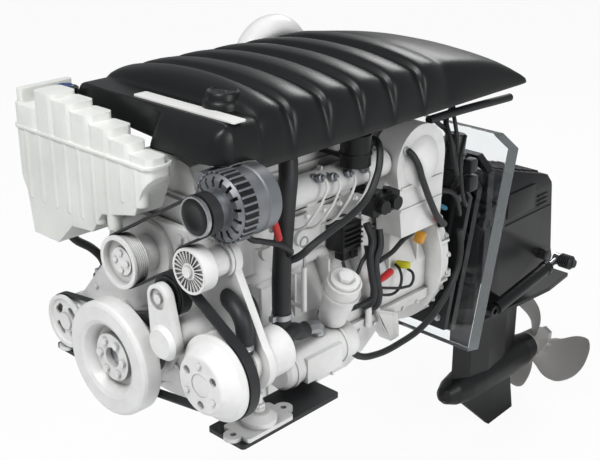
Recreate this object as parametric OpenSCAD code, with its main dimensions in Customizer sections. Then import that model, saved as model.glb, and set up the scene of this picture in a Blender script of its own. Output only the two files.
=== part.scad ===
// Inboard marine diesel with outdrive. Millimetres.
// +X points to the bow, +Y to port, +Z up. The origin is on the crankshaft axis, at the transom.

/* [Crank line] */
// Radius of the vibration damper
damper_r = 125; // [110:1:135]
// Thickness of the damper ring
damper_t = 45; // [35:1:50]
// Front face of the damper, forward of the transom
damper_face_x = 1000; // [990:1:1010]
// Radius of the open dish in the damper
dish_r = 78; // [60:1:85]
// Radius of the bolted hub disc in the dish
hub_disc_r = 52; // [45:1:56]
// Radius of the crank pulley for the long belt
crank_pulley_r = 78; // [70:1:82]
// Radius of the crank pulley for the steering belt
steer_groove_r = 62; // [56:1:66]
// Radius of the main bearing journals
journal_r = 31; // [28:1:34]
// Radius of the crank pins
crank_pin_r = 26; // [22:1:28]
// Offset of the crank pins from the crank axis
throw = 38; // [34:1:42]
// Distance between cylinders
cyl_pitch = 108; // [104:1:110]
// Radius of the flywheel
flywheel_r = 148; // [140:1:152]
// Thickness of the flywheel
flywheel_t = 22; // [18:1:24]
// Radius of the drive shaft
drive_shaft_r = 16; // [14:1:18]

/* [Belts] */
// Middle plane of the long belt
belt_x = 938; // [936:1:940]
// Width of the long belt
belt_w = 24; // [20:1:26]
// Thickness of both belts
belt_t = 4.5; // [4:0.1:5]
// Middle plane of the steering belt
steer_belt_x = 903; // [901:1:905]
// Width of the steering belt
steer_belt_w = 14; // [12:1:16]

/* [Pulleys] */
// Water pump pulley radius
water_pulley_r = 54; // [48:1:58]
// Water pump axis, to port
water_y = 8; // [0:1:16]
// Water pump axis, above the crankshaft
water_z = 208; // [202:1:214]
// Alternator pulley radius
alt_pulley_r = 36; // [32:1:38]
// Alternator axis, to port
alt_y = 250; // [246:1:256]
// Alternator axis, above the crankshaft
alt_z = 371; // [366:1:374]
// Idler radius
idler_r = 46; // [42:1:48]
// Idler axis, to port
idler_y = 220; // [216:1:224]
// Idler axis, above the crankshaft
idler_z = 252; // [248:1:256]
// Tensioner pulley radius
tens_pulley_r = 40; // [36:1:41]
// Tensioner pivot, to port
tens_y = 163; // [160:1:166]
// Tensioner pivot, above the crankshaft
tens_z = 91; // [88:1:94]
// Length of the tensioner arm
tens_arm_l = 90; // [87:1:93]
// Lean of the tensioner arm to starboard (degrees)
tens_lean = 8; // [5:1:10]
// Radius of the tensioner base
tens_base_r = 36; // [32:1:37]
// Raw-water pump pulley radius
sea_pulley_r = 86; // [80:1:88]
// Raw-water pump axis, to port
sea_y = 288; // [284:1:292]
// Raw-water pump axis, above the crankshaft
sea_z = 52; // [48:1:56]
// How far the raw-water pulley bulges ahead of its rim
sea_dome = 44; // [36:1:50]
// Power steering pulley radius
steer_pulley_r = 60; // [54:1:64]
// Power steering pump axis, to port
steer_y = -262; // [-270:1:-256]
// Power steering pump axis, above the crankshaft
steer_z = -32; // [-36:1:-28]

/* [Block] */
// Rear face of the block, forward of the transom
block_back = 135; // [130:1:140]
// Front face of the block
block_front = 850; // [845:1:852]
// Half width of the crankcase
case_hw = 158; // [150:1:165]
// Half width of the cylinder bank
bank_hw = 112; // [104:1:118]
// Depth of the crankcase below the crankshaft
case_depth = 88; // [84:1:92]
// Height of the block's deck above the crankshaft
deck_z = 232; // [225:1:240]
// Height of the cylinder head
head_h = 92; // [85:1:96]
// Height of the rocker cover
rocker_h = 78; // [70:1:84]
// Thickness of the front gear cover
front_cover_t = 26; // [22:1:28]
// Depth of the oil pan's sump below the crankshaft
pan_z = 240; // [225:1:250]
// Half width of the oil pan's sump
pan_hw = 92; // [85:1:100]
// Radius of the bell housing at the flywheel
bell_r = 200; // [190:1:205]

/* [Engine cover] */
// Front edge of the cover's nose
cover_front = 890; // [885:1:895]
// Length of the cover
cover_l = 1030; // [1010:1:1040]
// Starboard edge of the cover
cover_stbd = 255; // [245:1:260]
// Port edge of the cover
cover_port = 240; // [232:1:244]
// Height of the cover's crown above the crankshaft
cover_top = 562; // [556:1:568]
// Height of the lower edge of the port skirt
cover_low = 413; // [410:1:420]
// How much lower the crown is at the cover's edges
cover_crown = 38; // [30:1:44]
// Depth of the grooves between the raised bands
band_depth = 20; // [14:1:24]
// Wall of the cover
cover_wall = 4; // [3:0.5:5]
// Distance between the raised bands
band_pitch = 104; // [100:1:106]

/* [Coolant tank] */
// Front face of the tank
tank_front = 950; // [946:1:953]
// Depth of the tank, front to back
tank_d = 150; // [140:1:155]
// Port end of the tank
tank_port = 105; // [100:1:110]
// Length of the tank across the engine
tank_l = 450; // [440:1:455]
// Top of the tank
tank_top = 512; // [508:1:516]
// Height of the welded seam
seam_z = 425; // [420:1:430]
// Radius of the tank cap
cap_r = 27; // [24:1:30]

/* [Alternator] */
// Radius of the alternator
alt_r = 68; // [64:1:70]
// Front face of the alternator
alt_front = 905; // [902:1:908]
// Length of the alternator
alt_l = 112; // [104:1:118]

/* [Oil side] */
// Radius of the oil filter housing
filter_r = 40; // [36:1:42]
// Length of the oil filter housing
filter_l = 120; // [110:1:126]
// Lean of the oil filter to port (degrees)
filter_lean = 24; // [18:1:28]
// Radius of the oil cooler
cooler_r = 44; // [40:1:46]
// Length of the oil cooler
cooler_l = 230; // [215:1:240]

/* [Mounts] */
// Distance of the mounts from the engine's centre line
mount_y = 278; // [274:1:282]
// Distance between the two holes of a front mount
mount_hole_pitch = 143; // [138:1:146]
// Radius of the mount's bolt holes
mount_hole_r = 6.5; // [5:0.5:7]
// Height of the mount's flange underside, below the crankshaft
mount_foot = 108; // [104:1:112]
// Thickness of the pads under the mounts
pad_t = 10; // [8:1:12]
// Length of the pads
pad_l = 285; // [275:1:295]
// Width of the pads
pad_w = 104; // [98:1:108]

/* [Transom] */
// Rake of the transom, top leaning aft (degrees)
rake = 13; // [11:1:14]
// Thickness of the clear board
board_t = 50; // [44:1:52]
// Half width of the board
board_hw = 250; // [244:1:256]
// Height of the board's top above the crankshaft
board_top = 300; // [294:1:306]
// Depth of the board below the crankshaft
board_low = 262; // [256:1:268]
// Thickness of the inner transom plate
inner_t = 26; // [22:1:28]
// Thickness of the gimbal housing's flange
gimbal_t = 20; // [16:1:21]

/* [Outdrive] */
// Steering and tilt axis, aft of the transom
pivot_back = 185; // [183:1:190]
// Half width of the gimbal ring
ring_hw = 138; // [134:1:140]
// Half height of the gimbal ring
ring_hh = 186; // [183:1:190]
// Thickness of the gimbal ring
ring_t = 26; // [22:1:28]
// Height of the upper housing's top
drive_top = 108; // [104:1:110]
// Height of the anti-ventilation plate, below the crankshaft
plate_z = 355; // [350:1:362]
// Half width of the anti-ventilation plate
plate_hw = 84; // [78:1:92]
// Depth of the propeller axis below the crankshaft
prop_z = 600; // [594:1:606]
// Depth of the skeg's tip below the crankshaft
skeg_z = 805; // [790:1:815]
// Radius of the gearcase torpedo
torpedo_r = 56; // [50:1:60]
// Propeller radius
prop_r = 205; // [190:1:208]
// Propeller hub radius
prop_hub_r = 44; // [40:1:46]
// Distance of the trim cylinders from the centre line
trim_y = 158; // [155:1:161]
// Radius of the trim cylinders
trim_r = 19; // [17:1:20]
// Length of the trim cylinder barrels
trim_barrel_l = 280; // [272:1:286]

/* [Hidden] */
$fn = 48;

// Shared small sizes
over = 2;
run_gap = 0.05;
belt_gap = 0.4;
body_gap = 0.5;
bolt_r = 6;
bolt_head_h = 7;
bolt_head_r = 10;
cast_edge = 8;
cast_wall = 6;
hex = 6;

// Colours as photographed
white = "#eceeee";
black = "#1d1e20";
drive_black = "#151618";
grey = "#8e9194";
steel = "#b9bcc0";
rubber = "#202123";

// Places worked out from the driving sizes
block_l = block_front - block_back;
cover_plate_x = block_front + front_cover_t;
damper_back = damper_face_x - damper_t;
cover_back = cover_front - cover_l;
head_z = deck_z;
rocker_z = deck_z + head_h;
bell_gap = 8;
flywheel_x = block_back - bell_gap - flywheel_t;
pivot_x = -pivot_back;
tens_top_y = tens_y - tens_arm_l * sin(tens_lean);
tens_top_z = tens_z + tens_arm_l * cos(tens_lean);

// A solid of revolution round X, from points of radius and X
module turned(points) rotate([0, 90, 0]) rotate_extrude() polygon(points);
// A cylinder along X, from one X to another
module x_bar(x0, x1, r) translate([x0, 0, 0]) rotate([0, 90, 0]) cylinder(h = x1 - x0, r = r);
// A cylinder along Y, from one Y to another
module y_bar(y0, y1, r) translate([0, y0, 0]) rotate([-90, 0, 0]) cylinder(h = y1 - y0, r = r);
// A block given by its low and high corners
module block(low, high) translate(low) cube(high - low);
// A rectangle with round corners, centred
module round_rect(w, h, r) {
  square([w - 2 * r, h], center = true);
  square([w, h - 2 * r], center = true);
  for (sx = [-1, 1], sy = [-1, 1]) translate([sx * (w / 2 - r), sy * (h / 2 - r)]) circle(r);
}
// Draws a Y-Z outline as a slab between two values of X
module x_slab(x0, x1) translate([x0, 0, 0]) rotate([90, 0, 90]) linear_extrude(x1 - x0) children();
// Draws an X-Z outline as a slab between two values of Y
module y_slab(y0, y1) translate([0, y1, 0]) rotate([90, 0, 0]) linear_extrude(y1 - y0) children();
// Outline points given as shares of two sizes
function sized(shares, w, h) = [for (p = shares) [p[0] * w, p[1] * h]];
// A closed skin through rings that have equal numbers of points
module loft(rings) {
  n = len(rings[0]);
  m = len(rings);
  polyhedron(
    points = [for (ring = rings, p = ring) p],
    faces = concat(
      [[for (j = [0:n - 1]) j]],
      [for (i = [0:m - 2], j = [0:n - 1], h = [0, 1])
        let (a = i * n + j, b = i * n + (j + 1) % n) h == 0 ? [a, a + n, b] : [b, a + n, b + n]],
      [[for (j = [n - 1:-1:0]) (m - 1) * n + j]]),
    convexity = 8);
}
function unit(v) = v / norm(v);
// The direction of a route at one of its points
function heading(route, i) =
  unit(route[min(i + 1, len(route) - 1)] - route[max(i - 1, 0)]);
// A round tube along a route of points
module hose(route, r, sides = 8) loft([for (i = [0:len(route) - 1])
  let (d = heading(route, i), s = unit(cross(d, abs(d[1]) > side_limit ? [0, 0, 1] : [0, 1, 0])),
    u = cross(d, s))
  [for (k = [0:sides - 1]) route[i] + r * (cos(360 * k / sides) * s + sin(360 * k / sides) * u)]]);
side_limit = 0.9;

// Crankshaft: seven main journals, six throws, a flange for the flywheel and a nose for the pulleys
web_t = 16;
crank_pin_l = 30;
web_r = 42;
web_margin = 8;
crank_flange_r = 46;
nose_r = 24;
first_cyl_x = block_back + (block_l - 5 * cyl_pitch) / 2;
crank_phases = [0, 120, 240, 240, 120, 0];
function cyl_x(k) = first_cyl_x + k * cyl_pitch;
module crank_web() {
  circle(web_r);
  translate([throw, 0]) circle(crank_pin_r + web_margin);
  translate([0, -crank_pin_r - web_margin]) square([throw, 2 * (crank_pin_r + web_margin)]);
}
module crankshaft() color(steel) {
  crank_nose_x = damper_face_x - damper_t * dish_depth_share + hub_rise - hub_eye_depth - body_gap;
  web_x = crank_pin_l / 2 + web_t;
  x_bar(flywheel_x + flywheel_t, block_back - body_gap, crank_flange_r);
  x_bar(block_back - body_gap - over, cyl_x(0) - web_x + over, journal_r);
  for (k = [0:4]) x_bar(cyl_x(k) + web_x - over, cyl_x(k + 1) - web_x + over, journal_r);
  x_bar(cyl_x(5) + web_x - over, block_front - body_gap, journal_r);
  x_bar(block_front - body_gap - over, crank_nose_x, nose_r);
  for (k = [0:5], side = [-1, 1])
    translate([cyl_x(k), 0, 0]) rotate([crank_phases[k], 0, 0]) {
      x0 = side > 0 ? crank_pin_l / 2 : -web_x;
      x_slab(x0, x0 + web_t) crank_web();
      if (side > 0) translate([0, throw, 0]) x_bar(-crank_pin_l / 2 - over, crank_pin_l / 2 + over,
        crank_pin_r);
    }
}

// Flywheel with its starter ring
ring_teeth = 84;
tooth_h = 5;
module flywheel() color(steel) difference() {
  union() {
    x_bar(flywheel_x, flywheel_x + flywheel_t, flywheel_r - tooth_h);
    x_slab(flywheel_x + flywheel_t / 2, flywheel_x + flywheel_t)
      polygon([for (k = [0:ring_teeth - 1], e = [0:3])
        let (a = 360 * (k + e / 4) / ring_teeth, r = flywheel_r - (e < 2 ? 0 : tooth_h)) [r * cos(a),
          r * sin(a)]]);
  }
  x_bar(flywheel_x - over, flywheel_x + flywheel_t + over, drive_shaft_r + run_gap);
}

// Drive shaft: coupler disc on the flywheel, splined shaft and the fork of the universal joint
coupler_r = 90;
coupler_t = 10;
fork_hw = 24;
fork_t = 9;
fork_l = 34;
fork_gap = 6;
module drive_shaft() color(steel) {
  x_bar(flywheel_x - coupler_t, flywheel_x, coupler_r);
  x_bar(pivot_x + fork_gap + fork_l, flywheel_x + flywheel_t - over, drive_shaft_r);
  x_bar(pivot_x + fork_gap + fork_l - fork_t, pivot_x + fork_gap + fork_l, fork_hw);
  for (side = [-1, 1]) y_slab(min(side * fork_hw, side * (fork_hw - fork_t)), max(side * fork_hw,
    side * (fork_hw - fork_t)))
    translate([pivot_x + fork_gap, -fork_t]) square([fork_l, 2 * fork_t]);
}

// Profile of a ribbed belt rim: V grooves cut into a cylinder of the given radius
rib_n = 6;
rib_h = 2.4;
function rib_rim(r, x0, x1) = [for (k = [0:rib_n - 1], e = [0, 1, 2])
  let (p = (x1 - x0) / rib_n) [e == 1 ? r - rib_h : r, x0 + p * (k + [0.08, 0.5, 0.92][e])]];
rim_x0 = belt_x - belt_w / 2 - over;
rim_x1 = belt_x + belt_w / 2 + over;
rim_lip = 2.5;

// Crank pulley: ribbed rim for the long belt, V groove behind it for the steering belt
vee_depth = 9;
steer_x0 = steer_belt_x - steer_belt_w / 2 - over;
steer_x1 = steer_belt_x + steer_belt_w / 2 + over;
module crank_pulley() color(white) turned(concat(
  [[nose_r + run_gap, steer_x0], [steer_groove_r, steer_x0], [steer_groove_r - vee_depth,
    steer_belt_x - over],
   [steer_groove_r - vee_depth, steer_belt_x + over], [steer_groove_r, steer_x1], [crank_pulley_r,
     rim_x0 - over]],
  rib_rim(crank_pulley_r, rim_x0, rim_x1),
  [[crank_pulley_r, damper_back], [nose_r + run_gap, damper_back]]));

// Damper: heavy ring with a dish, a bolted hub disc and a large centre hole
damper_edge = 9;
dish_depth_share = 0.62;
dish_slope = 14;
hub_rise = 12;
hub_eye_r = 22;
hub_eye_depth = 14;
damper_bolts = 6;
hub_bolt_ring_share = 0.72;
module crank_damper() color(white) difference() {
  dish_x = damper_face_x - damper_t * dish_depth_share;
  union() {
    turned([[nose_r + run_gap, damper_back], [damper_r - damper_edge / 3, damper_back], [damper_r,
      damper_back + damper_edge / 3],
      [damper_r, damper_face_x - damper_edge], [damper_r - damper_edge * 0.3,
        damper_face_x - damper_edge * 0.3],
      [damper_r - damper_edge, damper_face_x], [dish_r + damper_edge, damper_face_x], [dish_r,
        damper_face_x - damper_edge / 2],
      [dish_r - dish_slope, dish_x], [hub_disc_r, dish_x], [hub_disc_r, dish_x + hub_rise], [hub_eye_r,
        dish_x + hub_rise],
      [hub_eye_r, dish_x + hub_rise - hub_eye_depth], [nose_r + run_gap, dish_x + hub_rise - hub_eye_depth]]);
    for (k = [0:damper_bolts - 1]) rotate([360 * k / damper_bolts, 0, 0])
      translate([0, hub_disc_r * hub_bolt_ring_share, 0]) x_bar(dish_x + hub_rise,
        dish_x + hub_rise + bolt_head_h, bolt_r + over);
  }
}

// Cylinder block: crankcase with bearing walls, scalloped bank, oil rail and core plugs
tunnel_r = throw + crank_pin_r + web_margin + 4 * over;
bearing_wall = 30;
scallop_share = 0.44;
scallop_out = 10;
rail_r = 13;
rail_z = 112;
plug_r = 19;
outlet_x = 812;
outlet_z = 145;
outlet_y = 126;
outlet_r = 27;
case_shares = [[-0.86, -1], [0.86, -1], [1, -0.8], [1, 0.1], [0.72, 1.12], [-0.72, 1.12], [-1, 0.1], [-1,
  -0.8]];
pan_rail_w = 12;
// Where the crankcase's slanting flank lies at a height
function case_side(z) = case_hw * (1 - (1 - case_shares[4][0])
  * (z / case_depth - case_shares[3][1]) / (case_shares[4][1] - case_shares[3][1]));
module engine_block() color(white) difference() {
  union() {
    x_slab(block_back, block_front) polygon(sized(case_shares, case_hw, case_depth));
    x_slab(block_back, block_front) translate([-bank_hw, 0]) square([2 * bank_hw, deck_z]);
    block([block_back, -case_hw - pan_rail_w, -case_depth], [block_front, case_hw + pan_rail_w,
      -case_depth + cast_edge * 2]);
    for (side = [-1, 1]) {
      for (k = [0:5]) {
        translate([cyl_x(k), side * (bank_hw - cyl_pitch * scallop_share + scallop_out), case_depth])
          cylinder(h = deck_z - cast_edge - case_depth, r = cyl_pitch * scallop_share);
        translate([0, side * (bank_hw + scallop_out), 0]) translate([cyl_x(k), 0, (deck_z + rail_z) / 2])
          rotate([90, 0, 0]) cylinder(h = 2 * cast_wall, r = plug_r, center = true);
        block([cyl_x(k) - cyl_pitch / 2 - cast_wall / 2, side > 0 ? 0 : -case_hw, -case_depth],
              [cyl_x(k) - cyl_pitch / 2 + cast_wall / 2, side > 0 ? case_hw : 0, rail_z]);
      }
      translate([outlet_x, 0, outlet_z]) y_bar(0, outlet_y, outlet_r);
      translate([0, side * bank_hw, rail_z]) x_bar(block_back + cast_wall, block_front - cast_wall, rail_r);
    }
  }
  for (k = [0:5]) x_bar(cyl_x(k) - (cyl_pitch - bearing_wall) / 2,
    cyl_x(k) + (cyl_pitch - bearing_wall) / 2, tunnel_r);
  x_bar(block_back - over, block_front + over, journal_r + run_gap);
}

// Cylinder head with intake ports to port and exhaust ports to starboard
head_hw = 104;
port_r = 22;
port_z = head_z + head_h * 0.45;
port_l = 14;
module cylinder_head() color(white) {
  block([block_back + cast_edge, -head_hw, head_z], [block_front - cast_edge, head_hw, rocker_z]);
  for (k = [0:5]) translate([cyl_x(k), 0, port_z]) y_bar(-head_hw - port_l, head_hw + port_l, port_r);
  for (k = [0:6], side = [-1, 1]) translate([cyl_x(k) - cyl_pitch / 2, side * head_hw, head_z])
    cylinder(h = head_h * 0.8, r = cast_edge);
}

// Rocker cover under the engine cover
rocker_shares = [[-1, 0], [1, 0], [1, 0.55], [0.86, 0.9], [0.6, 1], [-0.6, 1], [-0.86, 0.9], [-1, 0.55]];
rocker_rim = 8;
module rocker_cover() color(white) {
  block([block_back + 2 * cast_edge, -head_hw, rocker_z], [block_front - 2 * cast_edge, head_hw,
    rocker_z + rocker_rim]);
  x_slab(block_back + 3 * cast_edge, block_front - 3 * cast_edge)
    translate([0, rocker_z]) polygon(sized(rocker_shares, head_hw - cast_edge, rocker_h));
  for (k = [0:5]) translate([cyl_x(k), 0, rocker_z]) cylinder(h = rocker_h + cast_wall, r = plug_r);
}

// Oil pan: flanged, with a deep sump whose front slopes up
pan_flange_t = 9;
pan_shares = [[0, 0], [1, 0], [1, -0.28], [0.93, -0.4], [0.8, -0.86], [0.76, -1], [0.3, -1], [0.22, -0.86],
  [0.06, -0.35], [0, -0.3]];
pan_step = 26;
pan_rib_n = 5;
module oil_pan() color(white) {
  top = -case_depth;
  depth = pan_z - case_depth;
  l = block_l;
  block([block_back, -case_hw - pan_rail_w, top - pan_flange_t], [block_front, case_hw + pan_rail_w, top]);
  y_slab(-pan_hw, pan_hw) translate([block_back, top]) polygon(sized(pan_shares, l, depth));
  y_slab(-pan_hw - pan_step, pan_hw + pan_step) translate([block_back, top])
    polygon([for (p = sized(pan_shares, l, depth)) [p[0], max(p[1], -pan_step - pan_flange_t)]]);
  for (k = [1:pan_rib_n]) translate([block_back + l * (0.3 + 0.46 * k / (pan_rib_n + 1)), 0, 0])
    block([0, -pan_hw - cast_wall, -pan_z], [cast_wall, pan_hw + cast_wall, top]);
  translate([block_back + l * 0.5, 0, -pan_z - bolt_head_h]) cylinder(h = bolt_head_h + over,
    r = bolt_head_r, $fn = hex);
}

// Front gear cover: one plate behind all the pulleys, with bearing bosses
pump_boss_r = 38;
shaft_r = 11;
boss_front_x = rim_x0 - 2 * over;
gear_boss_r = 74;
sea_boss_r = 58;
steer_boss_r = 52;
seal_gap = 1;
pump_axes = [[sea_y, sea_z], [steer_y, steer_z]];
module gear_outline() {
  polygon([[-case_hw, -case_depth], [case_hw, -case_depth], [sea_y, sea_z - sea_boss_r],
    [sea_y + sea_boss_r * 0.7, sea_z + sea_boss_r * 0.7],
    [idler_y + cast_edge * 3, idler_z], [bank_hw + cast_edge, deck_z + head_h * 0.5], [-bank_hw - cast_edge,
      deck_z + head_h * 0.5],
    [-case_hw, deck_z * 0.6], [steer_y, steer_z + steer_boss_r], [steer_y, steer_z - steer_boss_r]]);
  translate([sea_y, sea_z]) circle(sea_boss_r);
  translate([steer_y, steer_z]) circle(steer_boss_r);
  translate([idler_y, idler_z]) circle(pump_boss_r);
  circle(gear_boss_r + cast_edge * 3);
}
module front_gear_cover() color(white) difference() {
  union() {
    x_slab(block_front, cover_plate_x - cast_edge) gear_outline();
    x_bar(block_front, cover_plate_x, gear_boss_r);
    translate([0, water_y, water_z]) x_bar(block_front, cover_plate_x + cast_wall, gear_boss_r - cast_edge);
    translate([0, water_y, water_z]) x_bar(block_front, boss_front_x, pump_boss_r);
    for (p = pump_axes) translate([0, p[0], p[1]]) x_bar(block_front, cover_plate_x + cast_wall, pump_boss_r);
    translate([0, tens_y, tens_z]) x_bar(block_front, cover_plate_x, tens_base_r);
    translate([0, idler_y, idler_z]) x_bar(block_front, cover_plate_x, pump_boss_r - over);
    for (a = [30:60:330]) rotate([a, 0, 0]) x_slab(block_front, cover_plate_x - over)
      translate([gear_boss_r - over, -cast_wall / 2]) square([cast_edge * 5, cast_wall]);
  }
  x_bar(block_front - over, cover_plate_x + over, nose_r + seal_gap);
  for (p = concat([[water_y, water_z]], pump_axes)) translate([0, p[0], p[1]])
    x_bar(block_front + cast_wall, boss_front_x + over, shaft_r + run_gap);
}

// Bell housing round the flywheel, with ears that rest on the inner transom plate
bell_back = 80;
bell_wall = 9;
ear_in = 120;
ear_out = 172;
ear_z = -70;
ear_t = 20;
ear_back = 43.4;
bell_neck_share = 0.74;
bell_ribs = 12;
module bell_housing() color(white) {
  difference() {
    turned([[0, bell_back], [bell_r * bell_neck_share, bell_back], [bell_r, bell_back + bell_gap * 2],
      [bell_r, block_back - cast_edge],
      [bell_r + cast_edge, block_back - cast_edge], [bell_r + cast_edge, block_back], [0, block_back]]);
    x_bar(flywheel_x - coupler_t - over, block_back + over, flywheel_r + over);
    x_bar(bell_back - over, block_back, drive_shaft_r + bell_wall);
  }
  for (side = [-1, 1])
    block([ear_back, side > 0 ? ear_in : -ear_out, ear_z], [bell_back + bell_wall,
      side > 0 ? ear_out : -ear_in, ear_z + ear_t]);
  for (k = [0:bell_ribs - 1]) rotate([360 * (k + 0.5) / bell_ribs, 0, 0])
    block([bell_back + bell_gap * 2, bell_r - over, -cast_wall / 2], [block_back - cast_edge,
      bell_r + cast_edge, cast_wall / 2]);
}

// Belt path round circles [y, z, radius, side]; side is -1 where the belt's back runs on the circle
function link_angle(a, b, ra, rb) = let (dy = b[0] - a[0], dz = b[1] - a[1])
  atan2(dz, dy) - asin((b[3] * rb - a[3] * ra) / norm([dy, dz]));
function belt_arc(list, k, edge, share) = let (n = len(list), a = list[k], prev = list[(k + n - 1) % n],
  next = list[(k + 1) % n],
  centre_r = function (c) c[2] + belt_gap + belt_t / 2,
  start = link_angle(prev, a, centre_r(prev), centre_r(a)) - 90 * a[3],
  stop = link_angle(a, next, centre_r(a), centre_r(next)) - 90 * a[3],
  sweep = (((stop - start) * a[3]) % 360 + 360) % 360,
  steps = max(2, ceil(sweep / belt_step_angle)),
  r = centre_r(a) + edge * a[3] * belt_t / 2 * share)
  [for (i = [0:steps]) let (t = start + a[3] * sweep * i / steps) [a[0] + r * cos(t), a[1] + r * sin(t)]];
belt_step_angle = 8;
function belt_edge(list, edge, share = 1) = [for (k = [0:len(list) - 1]) each belt_arc(list, k, edge, share)];
module belt(list, x0, x1) x_slab(x0, x1) difference() {
  polygon(belt_edge(list, 1));
  polygon(belt_edge(list, -1));
}
belt_circles = [[0, 0, crank_pulley_r, 1], [sea_y, sea_z, sea_pulley_r, 1], [idler_y, idler_z, idler_r, -1],
  [alt_y, alt_z, alt_pulley_r, 1], [water_y, water_z, water_pulley_r, 1], [tens_top_y, tens_top_z,
    tens_pulley_r, -1]];
steer_circles = [[0, 0, steer_groove_r, 1], [steer_y, steer_z, steer_pulley_r, -1 + 2]];
module long_belt() color(rubber) belt(belt_circles, belt_x - belt_w / 2, belt_x + belt_w / 2);
module steering_belt() color(rubber) belt(steer_circles, steer_belt_x - steer_belt_w / 2,
  steer_belt_x + steer_belt_w / 2);

// Ribbed pulley: a rim with belt ribs, a web and a hub on its own shaft
web_wall = 4;
rim_wall = 7;
module ribbed_pulley(r, hub, web_x, front_x, shaft_back) turned(concat(
  [[0, shaft_back], [shaft_r, shaft_back], [shaft_r, rim_x0 - over / 2], [hub, rim_x0 - over / 2], [hub,
    web_x - web_wall],
   [r - rim_wall, web_x - web_wall], [r - rim_wall, rim_x0 - over / 2], [r, rim_x0 - over / 2]],
  rib_rim(r, rim_x0, rim_x1),
  [[r, rim_x1], [r + rim_lip, rim_x1 + over], [r + rim_lip, front_x], [r - rim_wall, front_x],
    [r - rim_wall, web_x],
   [hub, web_x], [hub, web_x + web_wall], [0, web_x + web_wall]]));
module ring_of_bolts(n, ring_r, x0, x1, r, start = 0) for (k = [0:n - 1]) rotate([start + 360 * k / n, 0, 0])
  translate([0, ring_r, 0]) x_bar(x0, x1, r);

// Water pump pulley: stamped cup with four bolts
water_web_x = 946;
water_front_x = 960;
water_hub_r = 30;
module water_pump_pulley() color(white) translate([0, water_y, water_z]) {
  ribbed_pulley(water_pulley_r, water_hub_r, water_web_x, water_front_x, block_front + 2 * cast_wall);
  ring_of_bolts(4, water_hub_r * 0.62, water_web_x + web_wall, water_web_x + 2 * web_wall, bolt_r);
}

// Alternator: two shells with radial vents and a bare stator ring between them, on two lugs
stator_share = [0.36, 0.66];
stator_inset = 3;
vent_n = 16;
vent_w = 7;
alt_nose_r = 30;
alt_nose_l = 14;
alt_seat = 18;
alt_lug_r = 15;
module alternator_body() color(grey) translate([0, alt_y, alt_z]) difference() {
  back = alt_front - alt_l;
  s0 = back + alt_l * stator_share[0];
  s1 = back + alt_l * stator_share[1];
  union() {
    turned([[0, back], [alt_r * 0.8, back], [alt_r - over, back + cast_edge], [alt_r, s0 - over],
      [alt_r - stator_inset, s0],
      [alt_r - stator_inset, s1], [alt_r, s1 + over], [alt_r - over, alt_front - cast_edge], [alt_r * 0.82,
        alt_front],
      [alt_nose_r, alt_front], [alt_nose_r, alt_front + alt_nose_l], [0, alt_front + alt_nose_l]]);
    for (side = [-1, 1]) rotate([side * 38, 0, 0]) translate([0, -alt_r - over, 0]) x_bar(block_front,
      alt_front - cast_edge, alt_lug_r);
    for (side = [-1, 1]) rotate([side * 38, 0, 0]) block([block_front, -alt_r - over, -alt_lug_r],
      [alt_front - cast_edge, -alt_r * 0.7, alt_lug_r]);
  }
  for (k = [0:vent_n - 1]) rotate([360 * (k + 0.5) / vent_n, 0, 0]) {
    block([alt_front - cast_edge - vent_w, alt_r * 0.62, -vent_w / 2], [alt_front + over, alt_r * 0.9,
      vent_w / 2]);
    block([back - over, alt_r * 0.4, -vent_w / 2], [back + vent_w, alt_r * 0.74, vent_w / 2]);
  }
  x_bar(alt_front - alt_seat, alt_front + alt_nose_l + over, shaft_r + run_gap);
}
module alternator_pulley() color(steel) translate([0, alt_y, alt_z])
  ribbed_pulley(alt_pulley_r, alt_pulley_r - rim_wall - over, water_web_x, water_front_x,
    alt_front - alt_seat + over);

// Alternator bracket: ribbed plate from the head to both lugs, with a strap to the upper lug
bracket_t = 12;
module alternator_bracket() color(white) {
  y0 = head_hw + body_gap;
  x1 = block_front - body_gap;
  difference() {
    union() {
      block([x1 - bracket_t * 2, y0, head_z + cast_edge], [x1, y0 + bracket_t, rocker_z - cast_edge]);
      x_slab(x1 - bracket_t, x1) polygon([[y0, head_z + cast_edge], [y0, rocker_z - cast_edge],
        [alt_y - alt_r * 0.62, alt_z + alt_r], [alt_y - alt_r * 0.4, alt_z + alt_r + alt_lug_r], [alt_y,
          alt_z - alt_r - cast_edge],
        [alt_y - alt_r * 0.2, alt_z - alt_r - 2 * cast_edge]]);
    }
    translate([0, alt_y, alt_z]) x_bar(x1 - bracket_t - over, x1 + over, alt_r + body_gap);
  }
}

// Idler: smooth belt surface and a white face with moulded ribs, on a pin in its bracket
idler_front = 955;
idler_back = 921;
idler_pin_r = 8;
idler_ribs = 24;
idler_hub_r = 17;
idler_recess = 5;
module idler_pulley() color(black) translate([0, idler_y, idler_z]) difference() {
  x_bar(idler_back, idler_front, idler_r);
  x_bar(idler_back - over, idler_front + over, idler_pin_r + run_gap);
  for (k = [0:idler_ribs - 1]) rotate([360 * k / idler_ribs, 0, 0])
    translate([idler_front, 0, 0]) rotate([0, 0, 0]) x_slab(-idler_recess, over)
      polygon([[idler_hub_r, -idler_hub_r * 0.09], [idler_r * 0.88, -idler_r * 0.085], [idler_r * 0.88,
        idler_r * 0.085],
        [idler_hub_r, idler_hub_r * 0.09]]);
}
module idler_bracket() color(white) translate([0, idler_y, idler_z]) {
  x_bar(cover_plate_x, idler_back - body_gap, pump_boss_r - cast_edge);
  x_bar(cover_plate_x + over, idler_front + cast_wall, idler_pin_r);
  x_bar(idler_front + body_gap, idler_front + bolt_head_h, idler_hub_r - cast_wall);
}

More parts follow.
